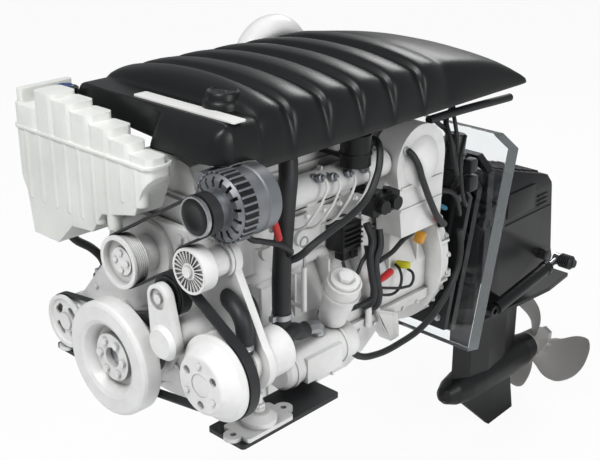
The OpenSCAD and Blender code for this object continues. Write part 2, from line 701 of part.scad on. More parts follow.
// Belt tensioner: base on the gear cover, arm with its cap, pulley on a pin
tens_pin_r = 9;
tens_cap_r = 38;
arm_back = 958;
arm_front = 978;
tens_cap_front = 988;
arm_end_r = 30;
tens_back = 922;
tens_front = 953;
module at_tens_top() translate([0, tens_top_y, tens_top_z]) children();
module tensioner_base() color(grey) translate([0, tens_y, tens_z]) {
  x_bar(cover_plate_x, arm_back - body_gap, tens_base_r);
  x_bar(arm_back - over, arm_front - cast_wall, tens_pin_r);
}
module tensioner_arm() color(grey) {
  difference() {
    union() {
      translate([0, tens_y, tens_z]) turned([[0, arm_back], [tens_cap_r, arm_back], [tens_cap_r, arm_front],
        [tens_cap_r - cast_edge, tens_cap_front], [0, tens_cap_front]]);
      at_tens_top() x_bar(arm_back, arm_front, arm_end_r);
      x_slab(arm_back, arm_front) let (c = cos(tens_lean), s = sin(tens_lean))
        polygon([for (p = [[-tens_cap_r, 0], [tens_cap_r, 0], [arm_end_r, tens_arm_l], [-arm_end_r,
          tens_arm_l]])
          [tens_y + p[0] * c - p[1] * s, tens_z + p[0] * s + p[1] * c]]);
    }
    translate([0, tens_y, tens_z]) x_bar(arm_back - over, arm_front - cast_wall + body_gap,
      tens_pin_r + run_gap);
    at_tens_top() x_bar(arm_front - cast_wall, arm_front + over, arm_end_r - cast_edge);
  }
  at_tens_top() x_bar(tens_back + cast_wall, arm_back + over, tens_pin_r);
  at_tens_top() x_bar(arm_front - cast_wall - over, arm_front, bolt_head_r);
}
module tensioner_pulley() color(black) at_tens_top() difference() {
  x_bar(tens_back, tens_front, tens_pulley_r);
  x_bar(tens_back - over, tens_front + over, tens_pin_r + run_gap);
  difference() {
    x_bar(tens_front - cast_wall, tens_front + over, tens_pulley_r - rim_wall);
    x_bar(tens_front - cast_wall - over, tens_front + 2 * over, tens_pin_r + cast_edge);
  }
}

// Raw-water pump and its domed pulley with three holes and three bolts
sea_neck_r = 42;
sea_neck_l = 70;
sea_flat_r = 58;
sea_hole_r = 9;
sea_hole_ring = 42;
sea_shell = 6;
sea_hub_r = 24;
hose_r = 20;
module raw_water_pump() color(white) translate([0, sea_y, sea_z]) {
  union() {
    turned([[0, block_front - sea_neck_l], [sea_neck_r, block_front - sea_neck_l], [sea_neck_r + cast_edge,
      block_front - sea_neck_l + cast_edge],
      [sea_neck_r + cast_edge, block_front - body_gap], [0, block_front - body_gap]]);
    translate([sea_outlet_x, sea_outlet_y - sea_y, 0]) {
      cylinder(h = sea_outlet_z - sea_z, r = hose_r + over);
      rotate([-90, 0, 0]) cylinder(h = sea_y - sea_outlet_y, r = hose_r + over);
    }
    translate([0, sea_outlet_y + cast_wall / 2 - sea_y, sea_inlet_z - sea_z]) x_bar(sea_inlet_x,
      block_front - sea_neck_l / 2, hose_r - over);
    block([block_front - sea_neck_l, sea_outlet_y - sea_y, sea_inlet_z - sea_z],
      [block_front - sea_neck_l / 2, 0, cast_edge]);
  }
}
sea_outlet_x = 812;
sea_outlet_y = 232;
sea_outlet_z = 92;
sea_inlet_x = 764.5;
sea_inlet_z = 6;
module raw_water_pulley() color(white) translate([0, sea_y, sea_z]) difference() {
  dome_x = rim_x1 + sea_dome;
  union() {
    turned(concat([[0, block_front + 2 * cast_wall], [shaft_r, block_front + 2 * cast_wall], [shaft_r,
      dome_x - 3 * sea_shell], [sea_hub_r, dome_x - 3 * sea_shell],
      [sea_hub_r, dome_x - sea_shell], [sea_flat_r - sea_shell, dome_x - sea_shell],
        [sea_pulley_r - 2 * sea_shell, rim_x1 + sea_shell],
      [sea_pulley_r - rim_wall - over, rim_x0 - over / 2]],
      [[sea_pulley_r, rim_x0 - over / 2]], rib_rim(sea_pulley_r, rim_x0, rim_x1),
      [[sea_pulley_r + rim_lip, rim_x1 + over / 2], [sea_pulley_r + rim_lip, rim_x1 + sea_shell],
        [sea_pulley_r - sea_shell, rim_x1 + 2 * sea_shell],
       [sea_flat_r + over, dome_x - over], [sea_flat_r - over, dome_x], [sea_hub_r, dome_x], [sea_hub_r,
         dome_x - over], [0, dome_x - over]]));
    ring_of_bolts(3, sea_hole_ring, dome_x - over, dome_x + web_wall, bolt_r, 90);
  }
  ring_of_bolts(3, sea_hole_ring, dome_x - 2 * sea_shell, dome_x + over, sea_hole_r, 30);
}

// Power steering pump and its flat pulley with four oval holes
steer_front = 920;
steer_web = 5;
steer_hub_r = 20;
steer_hole_r = 9;
steer_hole_len = 8;
steer_pump_r = 32;
steer_pump_l = 96;
module steering_pump() color(black) translate([0, steer_y, steer_z]) difference() {
  back = block_front - steer_pump_l;
  union() {
    turned([[0, back], [steer_pump_r - cast_edge, back], [steer_pump_r, back + cast_edge], [steer_pump_r,
      block_front - cast_edge * 2],
      [steer_pump_r + cast_wall, block_front - cast_edge * 2], [steer_pump_r + cast_wall,
        block_front - body_gap], [0, block_front - body_gap]]);
    translate([back + steer_pump_l / 2, 0, 0]) cylinder(h = steer_pump_r + 5 * cast_edge, r = hose_r);
    translate([back + steer_pump_l / 2, 0, steer_pump_r + 5 * cast_edge]) cylinder(h = cast_edge,
      r = hose_r + cast_wall);
  }
}
module steering_pulley() color(white) translate([0, steer_y, steer_z]) difference() {
  turned([[0, block_front + 2 * cast_wall], [shaft_r, block_front + 2 * cast_wall], [shaft_r, steer_x0],
    [steer_hub_r, steer_x0],
    [steer_hub_r, steer_front - 2 * steer_web], [steer_pulley_r - 2 * steer_web,
      steer_front - 2 * steer_web], [steer_pulley_r - 3 * steer_web, steer_x0],
    [steer_pulley_r, steer_x0], [steer_pulley_r - steer_web, steer_belt_x], [steer_pulley_r, steer_x1],
    [steer_pulley_r + rim_lip, steer_x1], [steer_pulley_r + rim_lip, steer_front],
      [steer_pulley_r - steer_web, steer_front], [steer_pulley_r - 2 * steer_web, steer_front - steer_web],
    [steer_hub_r, steer_front - steer_web], [steer_hub_r, steer_front], [0, steer_front]]);
  for (k = [0:3]) rotate([90 * k + 45, 0, 0]) x_slab(steer_front - 3 * steer_web, steer_front + over) {
    translate([steer_pulley_r * 0.56, 0]) square([2 * steer_hole_r, 2 * steer_hole_len], center = true);
    for (side = [-1, 1]) translate([steer_pulley_r * 0.56, side * steer_hole_len]) circle(steer_hole_r);
  }
}

// Engine cover: one moulded shell, lofted through closed sections that hold its outer and inner face.
// A station is [x, drop of the crown, depth share of the groove, starboard edge, its height, port edge,
// its height]
first_band_x = 684;
bar_front_x = 777;
ledge_drop = 46;
ledge_front_x = 850;
tail_drop_shares = [[0.24, 0.82], [0.16, 0.72], [0.105, 0.6], [0.065, 0.46], [0.03, 0.3], [0, 0.14]];
band_flat_share = 0.52;
band_rear_share = 0.86;
band_foot_share = 0.95;
band_count = 5;
band_fall = 2;
stbd_low = 486;
skirt_h = cover_top - cover_low;
nose_stbd = 41;
nose_low = cover_low + 28;
nose_top_shares = [[1, 0.52], [0.86, 0.24], [0.55, 0.07], [over / 100, 0]];
nose_side_shares = [0.26, 0.1, 0.03, 0];
function full_station(x, drop, groove) = let (q = 1 - drop / skirt_h)
  [x, drop, groove, -cover_stbd, cover_low + (stbd_low - cover_low) * q, cover_port,
    x > bar_front_x + over ? nose_low : cover_low];
nose_stations = [for (k = [0:3]) [ledge_front_x + (cover_front - ledge_front_x) * nose_top_shares[k][0],
  ledge_drop + skirt_h * nose_top_shares[k][1], 0, nose_stbd, nose_low,
    cover_port - cover_port * nose_side_shares[k], nose_low]];
function band_stations(k) = let (x = first_band_x - k * band_pitch, d = k * band_fall)
  [full_station(x, d + band_fall, 0.25), full_station(x - band_pitch * 0.04, d, 0),
    full_station(x - band_pitch * band_flat_share, d, 0),
   full_station(x - band_pitch * band_rear_share, d, 0.9), full_station(x - band_pitch * band_foot_share, d,
     k < band_count - 1 ? 1 : 0.5)];
main_stations = concat(
  [full_station(ledge_front_x, ledge_drop, 0), full_station(ledge_front_x - cover_wall, ledge_drop, 0),
   full_station(alt_front - alt_l - cast_edge, ledge_drop, 0), full_station(bar_front_x + over, ledge_drop,
     0),
   full_station(bar_front_x - over, band_depth, 0), full_station(bar_front_x - cast_edge, band_depth / 3, 0),
   full_station(bar_front_x - band_pitch * 0.36, 0, 0), full_station(first_band_x + band_pitch * 0.34, 0,
     0), full_station(first_band_x + band_pitch * 0.05, 0, 1)],
  [for (k = [0:band_count - 1]) each band_stations(k)],
  [for (t = tail_drop_shares) full_station(cover_back + cover_l * t[0], skirt_h * (1 - t[1]), 0)]);
section_shares = [0.05, 0.16, 0.3, 0.42, 0.5, 0.58, 0.7, 0.84, 0.94];
groove_from_share = 0.14;
function section(s, wall) = let (
    top = cover_top - s[1] - wall, y0 = s[3] + wall, y1 = s[5] - wall, w = y1 - y0, cut = s[2] * band_depth,
      under = over * (wall > 0 ? 0 : 1) / 100,
    crown = s[1] >= ledge_drop && s[0] > bar_front_x ? 0 : cover_crown * (1 - s[1] / skirt_h),
    edge = function (t) top - crown * pow(abs(2 * t - 1), 2.4) - cut * (t > groove_from_share ? 1 : 0),
    hs = edge(0) - s[4], hp = edge(1) - s[6])
  concat([[s[0], y0, s[4] - under], [s[0], y0, s[4] + hs * 0.5], [s[0], y0 + hs * 0.25, s[4] + hs * 0.9]],
    [for (t = section_shares) [s[0], y0 + w * t, edge(t)]],
    [[s[0], y1 - cut / 2 - hp * 0.13, s[6] + hp * 0.93], [s[0], y1 - cut / 2 - hp * 0.03, s[6] + hp * 0.72],
     [s[0], y1 - cut / 4, s[6] + hp * 0.36], [s[0], y1, s[6] - under]]);
function flat_section(s) = let (n = len(section_shares) + 7) [for (k = [0:n - 1]) [s[0],
  s[3] + cover_wall + (s[5] - s[3] - 2 * cover_wall) * k / (n - 1), s[4] + (s[6] - s[4]) * k / (n - 1)]];
function backwards(list) = [for (k = [len(list) - 1:-1:0]) list[k]];
function shell_ring(outer, inner) = concat(section(outer, 0), backwards(inner));
function at_x(s, x) = concat([x], [for (k = [1:6]) s[k]]);
module engine_cover() color(black) {
  n = len(main_stations);
  nose_in = nose_stations[3];
  loft(concat(
    [shell_ring(nose_stations[0], flat_section(nose_stations[0]))],
    [shell_ring(nose_stations[1], flat_section(nose_stations[1]))],
    [for (k = [2, 3]) shell_ring(nose_stations[k], section(nose_stations[k], cover_wall))],
    [for (k = [0, 1]) shell_ring(main_stations[k], section(at_x(nose_in, main_stations[k][0]), cover_wall))],
    [for (k = [2:n - 2]) shell_ring(main_stations[k], section(main_stations[k], cover_wall))],
    [shell_ring(main_stations[n - 1], flat_section(main_stations[n - 1]))]));
}

// Bare label strip on the ledge at the front of the cover
label_w = 297;
label_d = 34;
label_t = 3;
module cover_label() color(white) translate([ledge_front_x - cast_edge - label_d, cover_port - cast_edge
  - label_w, cover_top - ledge_drop])
  linear_extrude(label_t) translate([label_d / 2, label_w / 2]) round_rect(label_d, label_w, cast_wall);

// Coolant tank: welded plastic halves with a flange at the seam, flutes on the front and a stepped top
tank_back = tank_front - tank_d;
tank_stbd = tank_port - tank_l;
tank_edge = 22;
foot_shares = [[0, 0.43], [0.02, 0.43], [0.07, 0.6], [0.1, 1], [0.3, 1], [0.42, 0.78], [0.58, 0.75], [0.66,
  0.55], [0.9, 0.44], [0.96, 0.2], [1, 0.1], [1, 0], [0, 0]];
foot_depth = 238;
tank_steps = 6;
left_block = 87;
left_top = 472;
flute_n = 9;
flute_r = 15;
module tank_plan(y0, y1, x0, x1, r) translate([(x0 + x1) / 2, (y0 + y1) / 2]) round_rect(x1 - x0, y1 - y0, r);
module tank_outline(rim) {
  tank_plan(tank_stbd - rim, -bank_hw - 3 * cast_edge, tank_back - rim, tank_front + rim, tank_edge);
  tank_plan(tank_stbd + tank_edge, tank_port + rim, cover_plate_x + cast_wall - rim, tank_front + rim,
    tank_edge);
}
module coolant_tank() color(white) {
  intersection() {
    x_slab(tank_back - over, tank_front + over) translate([tank_stbd, seam_z])
      polygon([for (p = foot_shares) [p[0] * tank_l, -p[1] * foot_depth]]);
    translate([0, 0, seam_z - foot_depth - over]) linear_extrude(foot_depth + over) tank_outline(0);
  }
  translate([0, 0, seam_z - cast_wall / 2 - over]) linear_extrude(cast_wall) tank_outline(cast_wall / 2);
  translate([0, 0, seam_z - over]) linear_extrude(left_top - seam_z + over)
    tank_plan(tank_stbd, tank_stbd + left_block, tank_back, tank_front, tank_edge);
  for (k = [0:tank_steps - 1]) let (w = (tank_l - left_block) / tank_steps,
    y0 = tank_stbd + left_block - cast_edge + k * w,
      top = tank_top - (tank_top - seam_z - 2 * cast_edge) * pow(k / (tank_steps - 1), 1.3),
        back = k > 3 ? cover_front + cast_wall : cover_plate_x + cast_wall)
    translate([0, 0, seam_z - over]) linear_extrude(top - seam_z + over)
      tank_plan(y0, y0 + w + cast_edge, back, tank_front - k * over / 2, tank_edge * 0.7);
  translate([0, 0, seam_z - over]) linear_extrude(tank_top - seam_z - cast_edge)
    tank_plan(tank_stbd + cast_wall, tank_stbd + left_block * 0.3, tank_back + cast_edge,
      tank_front - cast_edge, cast_edge);
  for (k = [0:flute_n - 1]) let (y = tank_stbd + tank_l * (0.1 + 0.82 * k / (flute_n - 1)))
    translate([tank_front - flute_r + over, y, seam_z - foot_depth * (k > 6 ? 0.36 : 0.66)])
      cylinder(h = foot_depth * (k > 6 ? 0.36 : 0.66), r = flute_r);
  translate([cap_x, cap_y, left_top - over]) cylinder(h = cap_neck + over, r = cap_r - cast_edge);
}
cap_x = 852;
cap_y = tank_stbd + left_block - cap_r - over / 2;
cap_neck = 14;
cap_h = 26;
cap_grips = 12;
module tank_cap() color(black) translate([cap_x, cap_y, left_top]) difference() {
  union() {
    translate([0, 0, body_gap]) cylinder(h = cap_h - over, r = cap_r);
    cylinder(h = cap_h, r = cap_r - cast_wall);
    for (k = [0:cap_grips - 1]) rotate([0, 0, 360 * k / cap_grips]) translate([cap_r, 0, over])
      cylinder(h = cap_h - 2 * over, r = over);
  }
  translate([0, 0, -over]) cylinder(h = cap_neck + over + body_gap, r = cap_r - cast_edge + run_gap);
}

// Charge air housing at the rear of the port side, with a domed top
duct_front = 319;
duct_l = 179;
duct_dome_z = 291;
duct_low = 118;
duct_in = 131;
duct_out = 205;
duct_r = duct_l / 2;
module charge_duct() color(white) {
  x0 = duct_front - duct_l;
  y_slab(duct_in, duct_out) {
    translate([x0 + duct_r, duct_dome_z]) circle(duct_r);
    polygon([[x0, duct_dome_z], [x0 + cast_edge, duct_low], [duct_front - 3 * cast_edge, duct_low],
      [duct_front, duct_dome_z]]);
  }
  translate([x0 + duct_r, duct_out - cast_edge, duct_dome_z]) rotate([-90, 0, 0]) intersection() {
    translate([0, 0, -duct_r * 0.6]) sphere(duct_r * 0.98);
    cylinder(h = duct_r, r = duct_r);
  }
  for (z = [duct_dome_z - duct_r * 0.6, duct_dome_z - duct_r * 1.2])
    block([x0 + cast_edge, duct_out - over, z], [duct_front - 2 * cast_edge, duct_out + cast_wall / 2,
    z + cast_wall]);
}

// Intake manifold along the port side of the head
manifold_r = 33;
manifold_y = 156;
manifold_z = 300;
manifold_l = 372;
module intake_manifold() color(white) {
  x1 = duct_front + body_gap + manifold_l;
  translate([0, manifold_y, manifold_z]) {
    x_bar(duct_front + body_gap, x1, manifold_r);
    translate([x1, 0, 0]) sphere(manifold_r);
  }
  for (k = [2:4]) {
    translate([cyl_x(k), 0, port_z]) y_bar(head_hw + port_l + body_gap, manifold_y, port_r);
    block([cyl_x(k) - port_r - cast_edge, head_hw + port_l + body_gap, port_z - port_r - cast_edge],
      [cyl_x(k) + port_r + cast_edge, head_hw + port_l + cast_edge, port_z + port_r + cast_edge]);
  }
  for (k = [0:3]) block([duct_front + 2 * cast_edge + k * manifold_l / 4, manifold_y - cast_wall,
    manifold_z], [duct_front + 2 * cast_edge + cast_wall + k * manifold_l / 4, manifold_y + cast_wall,
    manifold_z + manifold_r + cast_edge]);
}

// Exhaust manifold with its water jacket along the starboard side
jacket_r = 40;
jacket_y = 164;
module heat_exchanger() color(white) {
  x1 = tank_back - 2 * cast_edge;
  translate([0, -jacket_y, port_z]) {
    x_bar(block_back + 2 * bell_wall, x1, jacket_r);
    x_bar(block_back + 2 * bell_wall - cast_edge, block_back + 2 * bell_wall, jacket_r + cast_wall);
    x_bar(x1 - cast_edge, x1, jacket_r + cast_wall);
  }
  for (k = [0:5]) translate([cyl_x(k), 0, port_z]) y_bar(-jacket_y, -head_hw - port_l - body_gap, port_r);
}

// Exhaust riser: a high elbow to starboard of the cover that keeps sea water out
riser_y = 306;
riser_x = 205;
riser_z = 432;
riser_bend = 86;
riser_r = 40;
riser_foot_z = 150;
module exhaust_riser() color(white) {
  translate([riser_x, -riser_y, riser_z]) rotate([90, 0, 0]) rotate_extrude(angle = 180)
    translate([riser_bend, 0]) circle(riser_r);
  translate([riser_x + riser_bend, -riser_y, port_z]) cylinder(h = riser_z - port_z, r = riser_r);
  translate([riser_x + riser_bend, -riser_y, port_z]) sphere(riser_r);
  translate([riser_x + riser_bend, 0, port_z]) y_bar(-riser_y, -jacket_y - jacket_r - body_gap,
    riser_r - over);
  translate([riser_x + riser_bend, 0, port_z]) y_bar(-jacket_y - jacket_r - cast_edge - body_gap,
    -jacket_y - jacket_r - body_gap, riser_r + cast_edge);
  translate([riser_x - riser_bend, -riser_y, riser_foot_z]) cylinder(h = riser_z - riser_foot_z, r = riser_r);
  for (z = [riser_foot_z, riser_z - riser_r]) translate([riser_x - riser_bend, -riser_y, z])
    cylinder(h = cast_edge, r = riser_r + cast_edge);
}

// Oil filter housing with its screwed lid and hexagon, and the cooler below it
filter_x = 538;
filter_y = 210;
filter_z = 4;
lid_share = 0.7;
module oil_filter() color(white) translate([filter_x, filter_y, filter_z]) rotate([-filter_lean, 9, 0]) {
  cylinder(h = filter_l * lid_share, r1 = filter_r - cast_edge, r2 = filter_r - over);
  translate([0, 0, filter_l * lid_share]) cylinder(h = cast_edge, r = filter_r + cast_wall / 2);
  translate([0, 0, filter_l * lid_share]) cylinder(h = filter_l * (1 - lid_share), r = filter_r - over / 2);
  translate([0, 0, filter_l]) cylinder(h = cast_edge, r = filter_r - cast_edge);
  translate([0, 0, filter_l + over]) cylinder(h = 3 * cast_wall, r = 2 * bolt_head_r - over, $fn = hex);
}
cooler_x = 496;
cooler_y = 218;
cooler_z = -56;
pipe_stub_r = 19;
pipe_stub_l = 34;
module oil_cooler() color(white) {
  translate([cooler_x, cooler_y, cooler_z]) {
    turned([[0, 0], [cooler_r - cast_edge, 0], [cooler_r, cast_edge], [cooler_r, cooler_l - cast_edge],
      [cooler_r - cast_edge, cooler_l], [0, cooler_l]]);
    for (s = [0.18, 0.86]) x_bar(cooler_l * s, cooler_l * s + cast_edge, cooler_r + cast_wall / 2);
    block([cooler_l * 0.3, 0, -cooler_r * 0.7], [cooler_l * 0.78, cooler_r + cast_wall / 2, cooler_r * 0.6]);
  }
  translate([stub_x, cooler_y, cooler_z]) cylinder(h = cooler_r + pipe_stub_l / 2, r = pipe_stub_r);
  for (x = [cooler_x + cooler_l * 0.3, cooler_x + cooler_l * 0.7])
    block([x, case_hw + pan_rail_w + body_gap, cooler_z], [x + 3 * cast_edge, cooler_y,
      cooler_z + cast_edge]);
  for (x = [cooler_x + cooler_l * 0.3, cooler_x + cooler_l * 0.7])
    block([x, case_hw + body_gap, cooler_z], [x + 3 * cast_edge, case_hw + pan_rail_w + cast_edge,
      cooler_z + 4 * cast_edge]);
}
stub_inset = 20;
stub_x = cooler_x + cooler_l - stub_inset;

// Starter motor on the bell housing's front face, with its solenoid above
starter_r = 37;
starter_y = -168;
starter_z = 152;
starter_l = 186;
solenoid_r = 22;
module starter_motor() color(black) translate([block_back + body_gap, starter_y, starter_z]) {
  x_bar(0, cast_edge, starter_r + cast_edge);
  turned([[0, 0], [starter_r - cast_wall, 0], [starter_r - cast_wall, starter_l * 0.3], [starter_r,
    starter_l * 0.34], [starter_r, starter_l - cast_edge], [starter_r - cast_edge, starter_l], [0,
    starter_l]]);
  translate([0, -starter_r * 0.8, -starter_r * 1.1]) x_bar(starter_l * 0.2, starter_l * 0.78, solenoid_r);
}

// Relay box with its plugs, on a bracket beside the charge air housing
relay_x = 338;
relay_y = 196;
relay_z = 214;
relay_l = 92;
relay_h = 42;
relay_d = 34;
module relay_box() color(black) translate([relay_x, relay_y, relay_z]) {
  block([0, 0, 0], [relay_l, relay_d, relay_h]);
  for (k = [0, 1]) {
    translate([relay_l * (0.27 + 0.46 * k), 0, relay_h / 2]) y_bar(relay_d - over, relay_d + 2 * cast_edge,
      relay_h * 0.38);
    translate([relay_l * (0.27 + 0.46 * k), relay_d / 2, -cast_edge]) cylinder(h = relay_h + 2 * cast_edge,
      r = relay_d * 0.3);
  }
  block([relay_l * 0.3, head_hw + cast_edge + body_gap - relay_y, relay_h - cast_edge], [relay_l * 0.7,
    over, relay_h]);
}

// Dipstick, and the tube beside the block that it slides in
dip_x = 622;
dip_y = 203;
dip_top = 196;
dip_tube_low = 46;
dip_tube_l = 104;
dip_r = 3;
dip_wall = 3;
dip_ring_r = 11;
module dipstick() color("gold") translate([dip_x, dip_y, 0]) {
  translate([0, 0, dip_tube_low + over]) cylinder(h = dip_top - dip_tube_low, r = dip_r);
  translate([0, 0, dip_top + dip_ring_r]) rotate([90, 0, 0]) rotate_extrude() translate([dip_ring_r, 0])
    circle(over);
}
module dipstick_tube() color(steel) translate([dip_x, dip_y, 0]) difference() {
  union() {
    translate([0, 0, dip_tube_low]) cylinder(h = dip_tube_l, r = dip_r + dip_wall);
    translate([0, 0, dip_tube_low + cast_edge]) y_bar(case_side(dip_tube_low) + body_gap - dip_y, 0,
      dip_r + dip_wall / 2);
  }
  translate([0, 0, dip_tube_low - over]) cylinder(h = dip_tube_l + 2 * over, r = dip_r + run_gap);
}

// Oil mist separator under the port edge of the cover
separator_x = 456;
separator_y = 198;
separator_r = 34;
separator_low = 337;
module oil_separator() color(black) translate([separator_x, separator_y, separator_low]) {
  cylinder(h = cover_low - cast_wall - separator_low, r = separator_r);
  translate([0, 0, 3 * cast_edge]) cylinder(h = cast_wall, r = separator_r + over);
  block([-cast_wall, head_hw - cast_edge + body_gap - separator_y, cast_edge], [cast_wall, 0, 2 * cast_edge]);
}

// Rubber hoses and tubes, each swept along its own route
hose_small_r = 8;
tube_r = 10;
vertical_route = [[stub_x, cooler_y, 5.4], [stub_x, cooler_y, 84], [704, 216, 150], [697, 215, 230], [686,
  214, 320], [676, 210, 380], [668, 196, 418], [662, 170, 430]];
branch_route = [[764.2, 236, 6], [746, 236, 6], [716, 236, 27], [690, 234, 34], [666, 229, 22], [652, 226,
  18], [640.4, 226, 18]];
elbow_route = [[812, 232, 92.4], [812, 232, 112], [812, 226, 130], [812, 208, 141], [812, 180, 145], [812,
  152, 145], [812, 126.4, 145]];
tank_route = [[870, tank_stbd + 4.5 * over, 303], [870, tank_stbd + 3.5 * over, 250], [862, -334, 190],
  [842, -315, 135], [815, -280, 108], [802, -262, 80], [802, -262, 48.4]];
filter_route = [[372, 156, 334.2], [372, 156, 352], [382, 184, 374], [402, 218, 372], [420, 236, 344], [436,
  241, 312], [466, 244, 278], [524, 250, 254], [590, 254, 240], [650, 252, 222], [676, 240, 202], [692, 224,
  192]];
cable_route = [[830, 250, 300.4], [826, 253, 290], [804, 260, 280], [770, 263, 266], [736, 260, 246], [706,
  246, 222], [698, 226, 206]];
breather_route = [[290, 205.4, 330], [290, 215, 330], [284, 230, 312], [262, 234, 262], [226, 232, 200],
  [182, 226, 142], [142, 214, 114], [118, 193, 100], [113, 180.2, 94.2]];
return_route = [[490, 218, -92], [450, 218, -126], [395, 218, -144], [299, 216, -150], [196, 212, -138],
  [118, 208, -100], [62, 204, -40], [48, 202, 22], [56, 200, 70]];
tiller_route = [[176, 180, 373], [100, 180, 372], [0, 180, 369], [-90, 180, 365], [-162, 180, 362]];
module hoses() color(rubber) {
  hose(vertical_route, hose_r);
  hose(branch_route, hose_r - over);
  hose(elbow_route, hose_r + over);
  hose(tank_route, tube_r);
  hose(filter_route, hose_small_r);
  hose(cable_route, hose_small_r - over);
  hose(breather_route, hose_small_r);
  hose(return_route, hose_small_r);
  hose(tiller_route, tube_r);
}

// Worm clamps on the large hoses, and the bright pipe between the branch hose and the oil cooler
clamp_w = 12;
clamp_t = 2;
chrome_route = [[640, 226, 18], [628, 226, 18], [612, 224, 12], [600, 221, 4], [596, 220, -4], [596, 220,
  -11.6]];
module clamp(r) difference() {
  union() {
    cylinder(h = clamp_w, r = r + clamp_t, center = true);
    translate([r + clamp_w / 2, 0, 0]) cube([clamp_w, clamp_w, clamp_w], center = true);
  }
  cylinder(h = clamp_w + over, r = r + run_gap, center = true);
}
module hose_clamps() color(steel) {
  translate(elbow_route[0] + [0, 0, clamp_w]) clamp(hose_r + over);
  translate([stub_x, cooler_y, vertical_route[1][2] - clamp_w]) clamp(hose_r);
  translate(elbow_route[5] - [0, clamp_w, 0]) rotate([90, 0, 0]) clamp(hose_r + over);
  translate(tank_route[6] + [0, 0, clamp_w]) clamp(tube_r);
  hose(chrome_route, hose_r - 2 * over);
}

// Front mounts: a domed flange with two bolt holes, a stud, and a bracket to the block
mount_x = 835;
dome_r = 38;
dome_h = 24;
flange_t = 9;
stud_r = 9;
collar_r = 14;
stud_h = 40;
mount_arm_t = 10;
low_dome_h = 10;
low_stud_h = 18;
block_side = case_hw + pan_rail_w + body_gap;
module front_mount(rise, stud) difference() {
  arm_z = -mount_foot + flange_t + rise;
  union() {
    translate([mount_x, mount_y, -mount_foot]) {
      linear_extrude(flange_t) {
        round_rect(mount_hole_pitch - 2 * mount_hole_r, dome_r * 2, cast_edge);
        for (e = [-1, 1]) translate([e * mount_hole_pitch / 2, 0]) circle(3 * mount_hole_r);
        for (e = [-1, 1]) translate([e * mount_hole_pitch / 4, 0])
          square([mount_hole_pitch / 2, 5 * mount_hole_r], center = true);
      }
      translate([0, 0, flange_t - over]) cylinder(h = rise / 2 + over, r = dome_r);
      translate([0, 0, flange_t + rise / 2]) cylinder(h = rise / 2, r1 = dome_r, r2 = dome_r * 0.62);
      cylinder(h = flange_t + rise + stud, r = stud_r);
      translate([0, 0, flange_t + rise + mount_arm_t - over]) cylinder(h = cast_edge + over, r = collar_r,
        $fn = hex);
    }
    translate([mount_x, mount_y, arm_z - over]) cylinder(h = mount_arm_t + over, r = collar_r);
    block([mount_x - 2 * stud_r, block_side, arm_z], [mount_x + collar_r, mount_y, arm_z + mount_arm_t]);
    block([mount_x - 5 * stud_r, block_side, -case_depth - pan_flange_t], [mount_x + collar_r,
      block_side + mount_arm_t, -case_depth + mount_arm_t * 2]);
  }
  for (e = [-1, 1]) translate([mount_x + e * mount_hole_pitch / 2, mount_y, -mount_foot - over])
    cylinder(h = flange_t + 2 * over, r = mount_hole_r);
}
module front_mounts() color(white) {
  front_mount(dome_h, stud_h);
  mirror([0, 1, 0]) front_mount(low_dome_h, low_stud_h);
}

// Flat black pads under the mounts, with the same two holes
pad_x = 771;
module mount_pads() color(black) for (side = [-1, 1]) difference() {
  translate([pad_x, side * (mount_y - 2 * cast_edge), -mount_foot - pad_t]) linear_extrude(pad_t)
    round_rect(pad_l, pad_w, cast_edge);
  for (e = [-1, 1]) translate([mount_x + e * mount_hole_pitch / 2, side * mount_y,
    -mount_foot - pad_t - over]) cylinder(h = pad_t + 2 * over, r = mount_hole_r);
}

// Transom: everything here is drawn upright, in a frame that leans with the transom
module raked() rotate([0, -rake, 0]) children();
chamfer_y = 52;
chamfer_z = 28;
module board_outline(hw, top, low, cy, cz) polygon([[-hw, -low], [hw, -low], [hw, top - cz], [hw - cy, top],
  [-hw + cy, top], [-hw, top - cz]]);
shaft_hole_r = 100;
module transom_board() color([0.85, 0.9, 0.92, 0.5]) raked() difference() {
  x_slab(-board_t, 0) board_outline(board_hw, board_top, board_low, chamfer_y, chamfer_z);
  x_slab(-board_t - over, over) circle(shaft_hole_r + cast_edge);
}

// Inner transom plate: ribbed casting on the forward side, with the shaft tunnel and the engine's rear rests
inner_hw = 176;
inner_top = 184;
inner_low = 226;
module inner_transom_plate() color(black) raked() difference() {
  union() {
    x_slab(0, inner_t * 0.6) board_outline(inner_hw, inner_top, inner_low, inner_hw * 0.3, inner_top * 0.3);
    x_slab(-board_t, inner_t) circle(shaft_hole_r);
    for (side = [-1, 1], y = [0.45, 0.78]) block([0, side * inner_hw * y - cast_edge / 2, -inner_low
      * 0.86], [inner_t, side * inner_hw * y + cast_edge / 2, inner_top * 0.7]);
    for (z = [-0.8, 0.72]) block([0, -inner_hw * 0.8, inner_top * z], [inner_t, inner_hw * 0.8,
      inner_top * z + cast_edge]);
  }
  x_bar(-board_t - over, inner_t + over, shaft_hole_r - 2 * cast_edge);
}

